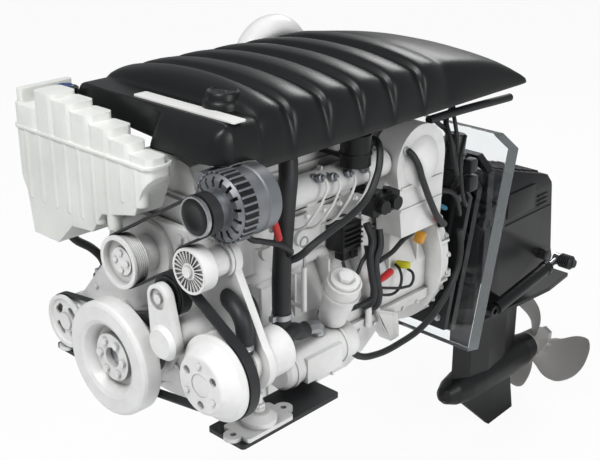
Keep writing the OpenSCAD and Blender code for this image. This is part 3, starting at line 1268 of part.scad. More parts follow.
// Gimbal housing: flange outside the board, two arms that hold the vertical swivel pins
gimbal_hw = 168;
gimbal_top = ring_hh + 28;
gimbal_low = ring_hh + 50;
arm_hw = 22;
arm_h = 24;
arm_gap = 1;
swivel_r = 10;
swivel_boss_r = 22;
bellows_r = 62;
module gimbal_housing() color(drive_black) {
  raked() difference() {
    x_slab(-board_t - gimbal_t, -board_t) board_outline(gimbal_hw, gimbal_top, gimbal_low, gimbal_hw * 0.34,
      gimbal_top * 0.3);
    x_bar(-board_t - gimbal_t - over, -board_t + over, bellows_r - cast_wall);
  }
  for (side = [-1, 1]) difference() {
    z0 = ring_hh + arm_gap;
    union() {
      block([pivot_x, -arm_hw, side > 0 ? z0 : -z0 - arm_h],
        [side > 0 ? -board_t - gimbal_t - (z0 + arm_h) * tan(rake) + over : -board_t - gimbal_t + z0
        * tan(rake) + 2 * over, arm_hw, side > 0 ? z0 + arm_h : -z0]);
      translate([pivot_x, 0, side > 0 ? z0 : -z0 - arm_h]) cylinder(h = arm_h, r = swivel_boss_r);
    }
    translate([pivot_x, 0, -gimbal_low - 4 * over]) cylinder(h = 2 * gimbal_low + 8 * over,
      r = swivel_r + run_gap);
  }
}

// Gimbal ring: turns on the vertical pins and carries the drive on two cross bores
drive_pin_r = 9;
ring_bar = 20;
ring_in_hw = ring_hw - ring_bar + over;
ring_side_h = 44;
trim_pin_r = 8;
trim_anchor_z = 257;
trim_anchor_dx = -2;
module gimbal_ring() color(drive_black) difference() {
  union() {
    x_slab(pivot_x - ring_t / 2, pivot_x + ring_t / 2) difference() {
      polygon([[-ring_hw, -ring_hh + ring_bar], [-ring_hw + ring_bar * 2, -ring_hh],
        [ring_hw - ring_bar * 2, -ring_hh], [ring_hw, -ring_hh + ring_bar],
        [ring_hw, ring_hh - ring_bar * 2], [ring_hw - ring_bar * 2, ring_hh], [-ring_hw + ring_bar * 2,
          ring_hh], [-ring_hw, ring_hh - ring_bar * 2]]);
      polygon([[-ring_in_hw, -ring_hh + ring_bar * 1.5], [-ring_in_hw + ring_bar, -ring_hh + ring_bar],
        [ring_in_hw - ring_bar, -ring_hh + ring_bar], [ring_in_hw, -ring_hh + ring_bar * 1.5],
        [ring_in_hw, ring_hh - ring_bar * 2], [ring_in_hw - ring_bar * 1.5, ring_hh - ring_bar],
          [-ring_in_hw + ring_bar * 1.5, ring_hh - ring_bar], [-ring_in_hw, ring_hh - ring_bar * 2]]);
    }
    for (side = [-1, 1]) {
      translate([pivot_x, 0, 0]) y_bar(side > 0 ? ring_in_hw : -ring_hw, side > 0 ? ring_hw : -ring_in_hw,
        ring_side_h / 2);
      y_slab(side > 0 ? ring_hw - ring_bar : -ring_hw, side > 0 ? ring_hw : -ring_hw + ring_bar)
        polygon([[pivot_x - ring_t / 2, -ring_hh + ring_bar * 2], [pivot_x + ring_t / 2,
        -ring_hh + ring_bar * 2],
        [pivot_x + ring_t / 2, -trim_anchor_z - 2 * trim_pin_r], [pivot_x - ring_t / 2,
          -trim_anchor_z - 2 * trim_pin_r]]);
      translate([pivot_x + trim_anchor_dx, 0, -trim_anchor_z])
        y_bar(side > 0 ? ring_hw - ring_bar : -trim_y, side > 0 ? trim_y : -ring_hw + ring_bar, trim_pin_r);
    }
    for (side = [-1, 1]) translate([pivot_x, 0, side > 0 ? ring_hh - over : -gimbal_low - arm_h / 2])
      cylinder(h = side > 0 ? arm_h + 2 * over + arm_gap : gimbal_low + arm_h / 2 - ring_hh + over,
      r = swivel_r);
  }
  translate([pivot_x, 0, 0]) y_bar(-ring_hw - over, ring_hw + over, drive_pin_r + run_gap);
}

// Rubber bellows round the universal joint, cut square to the leaning flange that it seats on
bellows_n = 7;
bellows_fold = 9;
bellows_back = 225.5;
bellows_front = 44;
module bellows() color(rubber) difference() {
  pitch = (bellows_back - bellows_front) / (2 * bellows_n);
  turned(concat([[0, -bellows_back]], [for (k = [0:2 * bellows_n]) [bellows_r + (k % 2 == 0 ? 0
    : bellows_fold), -bellows_back + k * pitch]], [[0, -bellows_front]]));
  x_bar(-bellows_back - over, -bellows_front + over, bellows_r - cast_wall);
  raked() x_slab(-board_t - gimbal_t - body_gap, 0) square(4 * bellows_r, center = true);
}

// Upper housing of the drive: finned top, yoke arms with the cross pins
upper_front = 226;
upper_hw = 92;
upper_top_share = 0.8;
yoke_y0 = 96;
yoke_y1 = 115;
yoke_h = 30;
upper_shares = [[0, 0.62], [0.13, 1], [0.2, 1], [0.84, 0.36], [0.9, 0.1], [0.97, -1.9], [1, -2.2], [0.95,
  -2.7], [0.3, -2.7], [0.02, -2.0]];
upper_l = 372;
fin_n = 8;
fin_t = 5;
fin_h = 10;
anchor_x = 517;
anchor_z = 203;
module drive_upper() color(drive_black) {
  intersection() {
    y_slab(-upper_hw, upper_hw) polygon([for (p = upper_shares) [-upper_front - p[0] * upper_l, p[1]
      * drive_top]]);
    x_slab(-upper_front - upper_l - over, -upper_front + over)
      polygon([[-upper_hw, -plate_z], [upper_hw, -plate_z], [upper_hw, 0], [upper_hw * 0.93,
        drive_top * 0.6], [upper_hw * upper_top_share, drive_top + over],
        [-upper_hw * upper_top_share, drive_top + over], [-upper_hw * 0.93, drive_top * 0.6], [-upper_hw,
          0]]);
  }
  for (k = [0:fin_n - 1]) let (x = upper_front + upper_l * (0.2 + 0.6 * k / (fin_n - 1)),
    z = drive_top * (1 - 0.6 * k / (fin_n - 1)))
    block([-x, -upper_hw * 0.7, z - 2 * fin_h], [-x + fin_t, upper_hw * 0.7, z + fin_h * 0.6]);
  for (side = [-1, 1]) {
    y_slab(side > 0 ? yoke_y0 : -yoke_y1, side > 0 ? yoke_y1 : -yoke_y0) {
      polygon([[pivot_x, yoke_h / 2], [pivot_x, -yoke_h / 2], [-upper_front - 2 * yoke_h, -yoke_h * 1.6],
        [-upper_front - 2 * yoke_h, yoke_h * 1.2]]);
      translate([pivot_x, 0]) circle(yoke_h / 2);
    }
    block([-upper_front - 2 * yoke_h, side > 0 ? upper_hw - over : -yoke_y1, -yoke_h * 1.6],
      [-upper_front - yoke_h, side > 0 ? yoke_y1 : -upper_hw + over, yoke_h * 1.2]);
    translate([pivot_x, 0, 0]) y_bar(side > 0 ? yoke_y0 : -ring_hw + over,
      side > 0 ? ring_hw - over : -yoke_y0, drive_pin_r);
    translate([-anchor_x, 0, -anchor_z]) y_bar(side > 0 ? upper_hw - over : -upper_hw - 4 * cast_edge,
      side > 0 ? upper_hw + 4 * cast_edge : -upper_hw + over, 2 * trim_pin_r);
  }
}

// Gearcase: strut, anti-ventilation plate, torpedo and skeg
strut_hw = 42;
strut_share = [[0, 0], [0.16, 0.72], [0.4, 1], [0.7, 0.8], [1, 0.12], [1, -0.12], [0.7, -0.8], [0.4, -1],
  [0.16, -0.72]];
strut_front = 236;
strut_l = 330;
gear_top = 319;
plate_t = 12;
plate_front = 200;
plate_back = 755;
nose_x = 183;
torpedo_back = 648;
skeg_toe = 448;
skeg_heel = 581;
skeg_root = 554;
skeg_hw = 7;
prop_shaft_r = 15;
gearcase_inset = body_gap;
module gearcase() color(drive_black) {
  difference() {
    union() {
      translate([-strut_front, 0, -prop_z]) linear_extrude(prop_z - gear_top - gearcase_inset)
        polygon([for (p = strut_share) [-p[0] * strut_l, p[1] * strut_hw]]);
      translate([-strut_front, 0, -plate_z]) linear_extrude(plate_z - gear_top - gearcase_inset)
        polygon([for (p = strut_share) [-p[0] * strut_l, p[1] * upper_hw * 0.8]]);
      translate([0, 0, -plate_z - plate_t]) linear_extrude(plate_t)
        polygon([[-plate_front, 0], [-plate_front - plate_hw * 0.6, plate_hw * 0.72],
        [-plate_back + plate_hw * 1.6, plate_hw],
        [-plate_back, plate_hw * 0.8], [-plate_back, -plate_hw * 0.8], [-plate_back + plate_hw * 1.6,
          -plate_hw], [-plate_front - plate_hw * 0.6, -plate_hw * 0.72]]);
      translate([0, 0, -prop_z]) turned([[0, -torpedo_back], [prop_hub_r, -torpedo_back], [torpedo_r - over,
        -torpedo_back + torpedo_r], [torpedo_r, -torpedo_back + 2.4 * torpedo_r],
        [torpedo_r, -nose_x - 3 * torpedo_r], [torpedo_r * 0.93, -nose_x - 1.9 * torpedo_r],
          [torpedo_r * 0.76, -nose_x - torpedo_r], [torpedo_r * 0.48, -nose_x - torpedo_r * 0.36],
        [torpedo_r * 0.2, -nose_x - torpedo_r * 0.06], [0, -nose_x]]);
      y_slab(-skeg_hw, skeg_hw) polygon([[-nose_x - torpedo_r * 1.6, -prop_z], [-nose_x - torpedo_r * 2.2,
        -prop_z - torpedo_r * 1.3], [-skeg_toe, -skeg_z], [-skeg_heel, -skeg_z + cast_edge], [-skeg_root,
        -prop_z - torpedo_r * 1.2], [-torpedo_back + torpedo_r, -prop_z]]);
    }
    translate([0, 0, -prop_z]) x_bar(-torpedo_back - over, -torpedo_back + 4 * torpedo_r,
      prop_shaft_r + run_gap);
  }
}
anode_x = 638;
anode_r = 26;
anode_h = 50;
module anode() color(grey) translate([-anode_x, 0, -plate_z - plate_t - anode_h]) {
  cylinder(h = anode_h * 0.5, r1 = anode_r * 0.5, r2 = anode_r * 0.8);
  translate([0, 0, anode_h * 0.5]) cylinder(h = anode_h * 0.5, r = anode_r * 0.8);
}

// Propeller shaft with its nut
prop_x = 698;
prop_hub_l = 96;
nut_l = 22;
hub_front = -torpedo_back - arm_gap;
module propeller_shaft() color(steel) translate([0, 0, -prop_z]) {
  x_bar(hub_front - prop_hub_l - nut_l - over, -torpedo_back + 3 * torpedo_r, prop_shaft_r);
  translate([hub_front - prop_hub_l - nut_l, 0, 0]) rotate([0, 90, 0]) cylinder(h = nut_l - body_gap,
    r = prop_shaft_r * 1.8, $fn = hex);
}

// Propeller: three swept and twisted blades on a tapered hub
blade_n = 3;
blade_start = -28;
blade_pitch_share = 1.05;
blade_t = 7;
blade_r_shares = [0.16, 0.32, 0.5, 0.68, 0.84, 0.95, 1];
blade_chord_shares = [0.2, 0.32, 0.46, 0.53, 0.46, 0.3, 0.08];
blade_sweep_shares = [0, 3, 8, 15, 24, 33, 40];
blade_points = [[0.5, 0], [0.25, 0.42], [0, 0.5], [-0.25, 0.42], [-0.5, 0], [-0.25, -0.42], [0, -0.5],
  [0.25, -0.42]];
function blade_ring(k, turn) = let (r = prop_r * blade_r_shares[k],
  chord = 2 * prop_r * blade_chord_shares[k],
    slope = atan(2 * prop_r * blade_pitch_share / (2 * PI * r)), t = blade_t * (1.25 - blade_r_shares[k]))
  [for (p = blade_points) let (along = p[0] * chord, thick = -p[1] * 2 * t,
      x = along * sin(slope) + thick * cos(slope), s = along * cos(slope) - thick * sin(slope),
      a = turn + blade_sweep_shares[k] + s / r * 180 / PI)
    [-prop_x - x, r * cos(a), -prop_z + r * sin(a)]];
module propeller() color(grey) {
  difference() {
    union() {
      translate([0, 0, -prop_z]) turned([[0, hub_front - prop_hub_l], [prop_hub_r * 0.72, hub_front
        - prop_hub_l], [prop_hub_r * 0.9, hub_front - prop_hub_l * 0.6], [prop_hub_r, hub_front], [0,
        hub_front]]);
      for (k = [0:blade_n - 1]) loft([for (i = [0:len(blade_r_shares) - 1]) blade_ring(i,
        blade_start + 360 / blade_n * k)]);
    }
    translate([0, 0, -prop_z]) x_bar(hub_front - prop_hub_l - over, hub_front + over, prop_shaft_r + run_gap);
  }
}

// Trim cylinders: barrels on the gimbal ring's pins, rods that reach back to the drive's anchor pins
trim_dx = anchor_x - (-pivot_x - trim_anchor_dx);
trim_dz = trim_anchor_z - anchor_z;
trim_angle = atan(trim_dz / trim_dx);
trim_reach = norm([trim_dx, trim_dz]);
trim_eye_r = 17;
trim_eye_t = 18;
rod_r = 10;
rod_gap = 0.06;
module trim_frame(side) translate([pivot_x + trim_anchor_dx, side * trim_y, -trim_anchor_z])
  rotate([0, trim_angle, 0]) children();
module trim_barrel(side) color(drive_black) trim_frame(side) difference() {
  union() {
    x_bar(-trim_barrel_l, -trim_eye_r, trim_r);
    x_bar(-trim_barrel_l, -trim_barrel_l + 2 * cast_edge, trim_r + over);
    x_bar(-trim_eye_r - cast_edge, 0, trim_r * 0.6);
    y_bar(-trim_eye_t / 2, trim_eye_t / 2, trim_eye_r);
  }
  y_bar(-trim_eye_t, trim_eye_t, trim_pin_r + run_gap);
  x_bar(-trim_barrel_l - over, -trim_eye_r - 2 * cast_edge, rod_r + rod_gap);
}
module trim_rod(side) color(steel) trim_frame(side) difference() {
  union() {
    x_bar(-trim_reach, -trim_eye_r - 5 * cast_edge, rod_r);
    translate([-trim_reach, 0, 0]) y_bar(-trim_eye_t / 2, trim_eye_t / 2, trim_eye_r);
  }
  translate([-trim_reach, 0, 0]) y_bar(-trim_eye_t, trim_eye_t, trim_pin_r + over);
}
module port_trim_barrel() trim_barrel(1);
module starboard_trim_barrel() trim_barrel(-1);
module port_trim_rod() trim_rod(1);
module starboard_trim_rod() trim_rod(-1);

// Bolts, one group of separate screws: gear cover, pan flange, inner transom plate
module hex_bolt(p) translate(p) rotate([0, 90, 0]) cylinder(h = bolt_head_h, r = bolt_head_r, $fn = hex);
cover_bolts = [[-case_hw + 2 * cast_edge, -case_depth + 2 * cast_edge], [case_hw - 2 * cast_edge,
  -case_depth + 2 * cast_edge], [-case_hw + 2 * cast_edge, cast_edge * 3],
  [-bank_hw + cast_edge, deck_z - cast_edge], [bank_hw - cast_edge * 2, deck_z + 3 * cast_edge],
    [-bank_hw + cast_edge, deck_z * 0.6], [sea_y - sea_boss_r * 0.6, sea_z + sea_boss_r * 0.7]];
module bolts() color(steel) {
  for (p = cover_bolts) hex_bolt([cover_plate_x - cast_edge, p[0], p[1]]);
}

crankshaft();
flywheel();
drive_shaft();
crank_pulley();
crank_damper();
engine_block();
cylinder_head();
rocker_cover();
oil_pan();
front_gear_cover();
bell_housing();
engine_cover();
cover_label();
coolant_tank();
tank_cap();
intake_manifold();
charge_duct();
exhaust_riser();
heat_exchanger();
water_pump_pulley();
alternator_body();
alternator_bracket();
alternator_pulley();
idler_bracket();
idler_pulley();
tensioner_base();
tensioner_arm();
tensioner_pulley();
raw_water_pump();
raw_water_pulley();
steering_pump();
steering_pulley();
long_belt();
steering_belt();
oil_filter();
oil_cooler();
starter_motor();
relay_box();
oil_separator();
dipstick();
dipstick_tube();
hoses();
hose_clamps();
front_mounts();
mount_pads();
transom_board();
inner_transom_plate();
gimbal_housing();
gimbal_ring();
bellows();
drive_upper();
gearcase();
anode();
propeller_shaft();
propeller();
port_trim_barrel();
port_trim_rod();
starboard_trim_barrel();
starboard_trim_rod();
bolts();
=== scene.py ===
# Inboard marine diesel with its clear display transom and outdrive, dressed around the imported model.
# Metres. +X points to the bow, +Y to port, +Z up, and the origin is on the crankshaft axis at the transom.
import math
import bpy
from mathutils import Matrix, Vector


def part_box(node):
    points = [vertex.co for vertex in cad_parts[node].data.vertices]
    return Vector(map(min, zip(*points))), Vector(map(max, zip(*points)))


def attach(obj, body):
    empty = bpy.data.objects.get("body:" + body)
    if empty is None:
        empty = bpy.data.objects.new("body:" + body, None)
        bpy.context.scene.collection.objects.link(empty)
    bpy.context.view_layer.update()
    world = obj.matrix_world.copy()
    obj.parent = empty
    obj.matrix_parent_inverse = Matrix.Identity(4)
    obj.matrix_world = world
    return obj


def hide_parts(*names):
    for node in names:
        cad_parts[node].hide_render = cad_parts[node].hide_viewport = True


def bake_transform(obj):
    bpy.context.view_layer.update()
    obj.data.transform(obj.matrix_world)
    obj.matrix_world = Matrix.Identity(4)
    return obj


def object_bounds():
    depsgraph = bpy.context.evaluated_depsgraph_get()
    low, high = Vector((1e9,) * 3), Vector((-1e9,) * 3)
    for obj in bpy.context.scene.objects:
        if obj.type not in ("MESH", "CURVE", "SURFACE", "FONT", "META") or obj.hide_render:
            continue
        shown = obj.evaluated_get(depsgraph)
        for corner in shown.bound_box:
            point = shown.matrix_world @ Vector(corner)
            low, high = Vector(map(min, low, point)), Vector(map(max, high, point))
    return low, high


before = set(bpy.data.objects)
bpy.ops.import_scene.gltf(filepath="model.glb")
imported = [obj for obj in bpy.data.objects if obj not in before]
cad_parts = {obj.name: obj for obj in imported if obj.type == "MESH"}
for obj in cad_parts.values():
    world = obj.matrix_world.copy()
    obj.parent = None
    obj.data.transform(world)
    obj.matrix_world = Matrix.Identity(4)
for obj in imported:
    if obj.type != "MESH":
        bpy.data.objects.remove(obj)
cad_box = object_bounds()
bpy.ops.object.select_all(action="DESELECT")

# Camera. The photograph looks at the engine's port bow from a little above, through a lens of
# about 66 mm on a 36 mm sensor, far enough back to hold the propeller too.
lens = bpy.data.cameras.new("camera")
lens.lens, lens.sensor_width, lens.sensor_fit = 66, 36, "HORIZONTAL"
lens.clip_start, lens.clip_end = 0.05, 60
camera = bpy.data.objects.new("camera", lens)
camera.location = (2.17116, 1.66617, 1.09522)
camera.rotation_euler = (math.radians(68), 0, math.radians(133.6))
bpy.context.scene.collection.objects.link(camera)
bpy.context.scene.camera = camera


def linear(code):
    """Turns an sRGB hex colour to the linear values that a shader takes."""
    parts = [int(code[i:i + 2], 16) / 255 for i in (1, 3, 5)]
    return [p / 12.92 if p <= 0.04045 else ((p + 0.055) / 1.055) ** 2.4 for p in parts] + [1]


def add(tree, kind, settings):
    """Adds one shader node with its settings, and links the ones that are another node's output."""
    made = tree.nodes.new("ShaderNode" + kind)
    for key, value in settings.items():
        if isinstance(key, str) and hasattr(made, key):
            setattr(made, key, value)
        elif isinstance(value, bpy.types.NodeSocket):
            tree.links.new(value, made.inputs[key])
        else:
            made.inputs[key].default_value = value
    return made


def start(name):
    """Opens an empty material and gives back its node tree and its output."""
    made = bpy.data.materials.new(name)
    made.use_nodes = True
    made.node_tree.nodes.clear()
    return made, made.node_tree, made.node_tree.nodes.new("ShaderNodeOutputMaterial")


# Studio. A pale sweep of painted board under the object, a pale world, and three large soft
# lamps: one over the bow, one to port and a weaker one from aft that draws the cover's edges.
floor_gap, sweep_size = 0.002, 24
floor_low = cad_box[0][2] - floor_gap
bpy.ops.mesh.primitive_plane_add(size=1, location=(0, 0, 0))
floor = bpy.context.object
floor.name = "floor"
floor.data.transform(Matrix.Diagonal((sweep_size, sweep_size, 1, 1)))
for corner in floor.data.vertices:
    corner.co.z = floor_low
board, tree, out = start("painted_sweep")
path = add(tree, "LightPath", {})
seen = add(tree, "Math", {"operation": "MAXIMUM", 0: path.outputs["Is Camera Ray"],
                          1: path.outputs["Is Transmission Ray"]})
share = add(tree, "Math", {"operation": "MULTIPLY", 0: seen.outputs[0], 1: 0.94})
dull = add(tree, "BsdfDiffuse", {"Color": linear("#f4f4f4"), "Roughness": 0.6})
glow = add(tree, "Emission", {"Color": linear("#ffffff"), "Strength": 1.0})
mixed = add(tree, "MixShader", {0: share.outputs[0], 1: dull.outputs[0], 2: glow.outputs[0]})
tree.links.new(mixed.outputs[0], out.inputs["Surface"])
floor.data.materials.append(board)

world = bpy.data.worlds.new("studio")
world.use_nodes = True
bpy.context.scene.world = world
tree = world.node_tree
tree.nodes.clear()
out = tree.nodes.new("ShaderNodeOutputWorld")
path = add(tree, "LightPath", {})
seen = add(tree, "Math", {"operation": "MAXIMUM", 0: path.outputs["Is Camera Ray"],
                          1: path.outputs["Is Transmission Ray"]})
low = add(tree, "Background", {"Color": linear("#f2f4f6"), "Strength": 0.34})
high = add(tree, "Background", {"Color": linear("#ffffff"), "Strength": 1.0})
mixed = add(tree, "MixShader", {0: seen.outputs[0], 1: low.outputs[0], 2: high.outputs[0]})
tree.links.new(mixed.outputs[0], out.inputs["Surface"])

lamp_aim = Vector((0.3, 0, 0.1))
for name, place, size, power in (("key", (2.6, 0.6, 2.9), 1.4, 88), ("port", (0.6, 3.4, 1.3), 1.5, 44),
                                 ("aft", (-2.6, -1.2, 2.4), 1.4, 40)):
    lamp = bpy.data.lights.new(name, "AREA")
    lamp.shape, lamp.size, lamp.energy = "SQUARE", size, power
    holder = bpy.data.objects.new(name, lamp)
    holder.location = place
    holder.rotation_euler = (lamp_aim - Vector(place)).to_track_quat("-Z", "Y").to_euler()
    bpy.context.scene.collection.objects.link(holder)
bpy.context.scene.view_settings.view_transform = "Standard"


# Engine castings. Grey iron block and head, aluminium covers and bell housing, all sprayed white
# after assembly, so one even coat of enamel runs over machined and cast faces alike.
def dress(material, *names):
    """Gives CAD nodes their finish."""
    for name in names:
        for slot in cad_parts[name].material_slots:
            slot.material = material


# White engine enamel: cast grain of about 2 mm shows softly through a slightly uneven sprayed
# coat, and painted shade from an ambient occlusion node darkens the corners and crevices.
enamel, tree, out = start("white_engine_enamel")
place = add(tree, "TexCoord", {})
grain = add(tree, "TexNoise", {"Vector": place.outputs["Object"], "Scale": 420, "Detail": 4,
                               "Roughness": 0.6})
peel = add(tree, "TexNoise", {"Vector": place.outputs["Object"], "Scale": 60, "Detail": 3})
shade = add(tree, "TexNoise", {"Vector": place.outputs["Object"], "Scale": 9, "Detail": 5, "Roughness": 0.65})
tone = add(tree, "ValToRGB", {"Fac": shade.outputs["Fac"]})
tone.color_ramp.elements[0].position, tone.color_ramp.elements[0].color = 0.3, linear("#e0e0de")
tone.color_ramp.elements[1].position, tone.color_ramp.elements[1].color = 0.62, linear("#f0f0ef")
# Painted shade: ambient occlusion darkens the enamel's colour in corners, in crevices and between parts.
nook = add(tree, "AmbientOcclusion", {"samples": 6, "Distance": 0.035})
painted_crevice_shade = add(tree, "ValToRGB", {"Fac": nook.outputs["AO"]})
painted_crevice_shade.color_ramp.elements[0].position, painted_crevice_shade.color_ramp.elements[0].color = 0.2, linear("#6f6f6d")
painted_crevice_shade.color_ramp.elements[1].position, painted_crevice_shade.color_ramp.elements[1].color = 0.8, linear("#ffffff")
coat = add(tree, "MixRGB", {"blend_type": "MULTIPLY", "Fac": 1.0, "Color1": tone.outputs[0],
                            "Color2": painted_crevice_shade.outputs[0]})
rough = add(tree, "MapRange", {"Value": peel.outputs["Fac"], "To Min": 0.3, "To Max": 0.48})
round_edge = add(tree, "Bevel", {"samples": 4, "Radius": 0.0022})
bump = add(tree, "Bump", {"Height": grain.outputs["Fac"], "Strength": 0.22, "Distance": 0.0012,
                          "Normal": round_edge.outputs[0]})
skin = add(tree, "BsdfPrincipled", {"Base Color": coat.outputs[0], "Roughness": rough.outputs[0],
                                    "Coat Weight": 0.25, "Coat Roughness": 0.22, "IOR": 1.5,
                                    "Normal": bump.outputs[0]})
tree.links.new(skin.outputs[0], out.inputs["Surface"])
dress(enamel, "engine_block", "cylinder_head", "rocker_cover", "oil_pan", "front_gear_cover", "bell_housing",
      "intake_manifold", "exhaust_riser", "heat_exchanger", "oil_filter", "oil_cooler", "crank_damper",
      "crank_pulley",
      "water_pump_pulley", "raw_water_pump", "raw_water_pulley", "steering_pulley", "alternator_bracket",
      "idler_bracket", "tensioner_base", "tensioner_arm", "starter_motor", "front_mounts",
      "dipstick_tube", "bolts", "charge_duct", "idler_pulley")

# Bright parts: turned steel shafts, trim rods and the flywheel, left bare and oiled, and the worm
# clamps and dipstick of bright strip. The lathe leaves fine marks that break up the shine.
steel, tree, out = start("turned_steel")
place = add(tree, "TexCoord", {})
lines = add(tree, "TexNoise", {"Vector": place.outputs["Object"], "Scale": 240, "Detail": 3})
rough = add(tree, "MapRange", {"Value": lines.outputs["Fac"], "To Min": 0.22, "To Max": 0.42})
skin = add(tree, "BsdfPrincipled", {"Base Color": linear("#b8babd"), "Metallic": 1,
                                    "Roughness": rough.outputs[0]})
tree.links.new(skin.outputs[0], out.inputs["Surface"])
dress(steel, "crankshaft", "flywheel", "drive_shaft", "propeller_shaft", "port_trim_rod",
      "starboard_trim_rod",
      "hose_clamps", "dipstick")

# Engine cover. One injection moulding of glass-filled nylon with raised bands across it; the mould
# was spark-eroded, which leaves an even satin grain.
nylon, tree, out = start("moulded_black_nylon")
place = add(tree, "TexCoord", {})
grain = add(tree, "TexNoise", {"Vector": place.outputs["Object"], "Scale": 900, "Detail": 2})
cloud = add(tree, "TexNoise", {"Vector": place.outputs["Object"], "Scale": 6, "Detail": 3})
rough = add(tree, "MapRange", {"Value": cloud.outputs["Fac"], "To Min": 0.3, "To Max": 0.42})
round_edge = add(tree, "Bevel", {"samples": 4, "Radius": 0.002})
bump = add(tree, "Bump", {"Height": grain.outputs["Fac"], "Strength": 0.16, "Distance": 0.0004,
                          "Normal": round_edge.outputs[0]})
skin = add(tree, "BsdfPrincipled", {"Base Color": linear("#151617"), "Roughness": rough.outputs[0],
                                    "IOR": 1.53, "Specular IOR Level": 0.32, "Normal": bump.outputs[0]})
tree.links.new(skin.outputs[0], out.inputs["Surface"])

weld_gap, quad_angle = 0.00004, math.radians(50)


def welded(node):
    """Copies a CAD node's mesh into a new piece, with its loose triangles joined."""
    twin = bpy.data.objects.new(node + "_shaped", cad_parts[node].data.copy())
    bpy.context.scene.collection.objects.link(twin)
    bpy.ops.object.select_all(action="DESELECT")
    twin.select_set(True)
    bpy.context.view_layer.objects.active = twin
    bpy.ops.object.mode_set(mode="EDIT")
    bpy.ops.mesh.select_all(action="SELECT")
    bpy.ops.mesh.remove_doubles(threshold=weld_gap)
    bpy.ops.mesh.tris_convert_to_quads(face_threshold=quad_angle, shape_threshold=quad_angle)
    bpy.ops.object.mode_set(mode="OBJECT")
    return twin


def keep(piece, material, body, *nodes):
    """Gives a finished piece its finish and its body, and lets it stand for CAD nodes."""
    piece.data.materials.clear()
    piece.data.materials.append(material)
    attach(piece, body)
    if nodes:
        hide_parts(*nodes)
    bpy.ops.object.select_all(action="DESELECT")
    return piece


mm = 1000  # millimetres in a metre
turned_crease, soft_crease, crisp_crease = math.radians(40), math.radians(50), math.radians(35)


def stack(name, foot, tip, rings, sides=24):
    """Turns a round piece: a disc is extruded from foot to tip, ring by ring.

    Places and radii are in millimetres, and each ring is a share of the way and a radius.
    """
    foot, tip = Vector(foot) / mm, Vector(tip) / mm
    length = (tip - foot).length
    bpy.ops.object.select_all(action="DESELECT")
    bpy.ops.mesh.primitive_circle_add(vertices=sides, radius=rings[0][1] / mm, fill_type="NGON")
    made = bpy.context.object
    made.name = name
    bpy.ops.object.mode_set(mode="EDIT")
    bpy.ops.mesh.select_all(action="SELECT")
    for (share, r), (next_share, next_r) in zip(rings, rings[1:]):
        rise = (0, 0, (next_share - share) * length)
        bpy.ops.mesh.extrude_region_move(TRANSFORM_OT_translate={"value": rise})
        bpy.ops.transform.resize(value=(next_r / r, next_r / r, 1))
    bpy.ops.mesh.select_all(action="SELECT")
    bpy.ops.mesh.normals_make_consistent(inside=False)
    bpy.ops.object.mode_set(mode="OBJECT")
    made.data.transform(Matrix.Translation(foot) @ (tip - foot).to_track_quat("Z", "Y").to_matrix().to_4x4())
    bpy.ops.object.shade_smooth_by_angle(angle=turned_crease)
    return made


shell = welded("engine_cover")
rounding = shell.modifiers.new("soft_mould_edges", "SUBSURF")
rounding.levels = rounding.render_levels = 1
bpy.ops.object.modifier_apply(modifier=rounding.name)
bpy.ops.object.shade_smooth_by_angle(angle=soft_crease)
keep(shell, nylon, "root", "engine_cover")
boss_x, boss_y, boss_low, boss_top = 772, 126, 512, 549
boss_rings = ((0, 42), (0.3, 41), (0.52, 39.5), (0.58, 37), (0.6, 35), (0.9, 34), (1, 31.5), (1, 28),
              (0.94, 26.5), (0.94, 8), (0.97, 7), (0.97, 2))
boss = stack("cover_boss", (boss_x, boss_y, boss_low), (boss_x, boss_y, boss_top), boss_rings, 48)
keep(boss, nylon, "root")
dress(nylon, "relay_box", "oil_separator", "tensioner_pulley", "alternator_pulley", "tank_cap")

# Label strip: a bare strip of white vinyl, stuck to the port edge of the cover. The film is smooth and
# half matt, and nothing is printed on it.
vinyl, tree, out = start("white_vinyl")
skin = add(tree, "BsdfPrincipled", {"Base Color": linear("#e6e6e4"), "Roughness": 0.4, "IOR": 1.5})
tree.links.new(skin.outputs[0], out.inputs["Surface"])
dress(vinyl, "cover_label")

# Coolant tank: two blow-moulded halves of natural polypropylene, welded at the flange. The plastic is
# milky and lets a little light in.
milky, tree, out = start("natural_polypropylene")
place = add(tree, "TexCoord", {})
cloud = add(tree, "TexNoise", {"Vector": place.outputs["Object"], "Scale": 7, "Detail": 4})
tone = add(tree, "ValToRGB", {"Fac": cloud.outputs["Fac"]})
tone.color_ramp.elements[0].position, tone.color_ramp.elements[0].color = 0.3, linear("#d9dbd6")
tone.color_ramp.elements[1].position, tone.color_ramp.elements[1].color = 0.7, linear("#ecede9")
# Fine upright flutes of the mould, 9 mm apart, run over the walls. A wave texture at scale pi / 10
# repeats once in a metre.
flute_pitch = 0.009
wave = add(tree, "TexWave", {"wave_type": "BANDS", "bands_direction": "Y",
                             "Vector": place.outputs["Object"],
                             "Scale": round(math.pi / 10 / flute_pitch, 1), "Distortion": 0.6,
                             "Detail": 1})
round_edge = add(tree, "Bevel", {"samples": 4, "Radius": 0.003})
bump = add(tree, "Bump", {"Height": wave.outputs["Fac"], "Strength": 0.3, "Distance": 0.0012,
                          "Normal": round_edge.outputs[0]})
skin = add(tree, "BsdfPrincipled", {"Base Color": tone.outputs[0], "Roughness": 0.36, "IOR": 1.49,
                                    "Subsurface Weight": 0.25,
                                    "Subsurface Radius": (0.006, 0.006, 0.005),
                                    "Normal": bump.outputs[0]})
tree.links.new(skin.outputs[0], out.inputs["Surface"])
dress(milky, "coolant_tank")

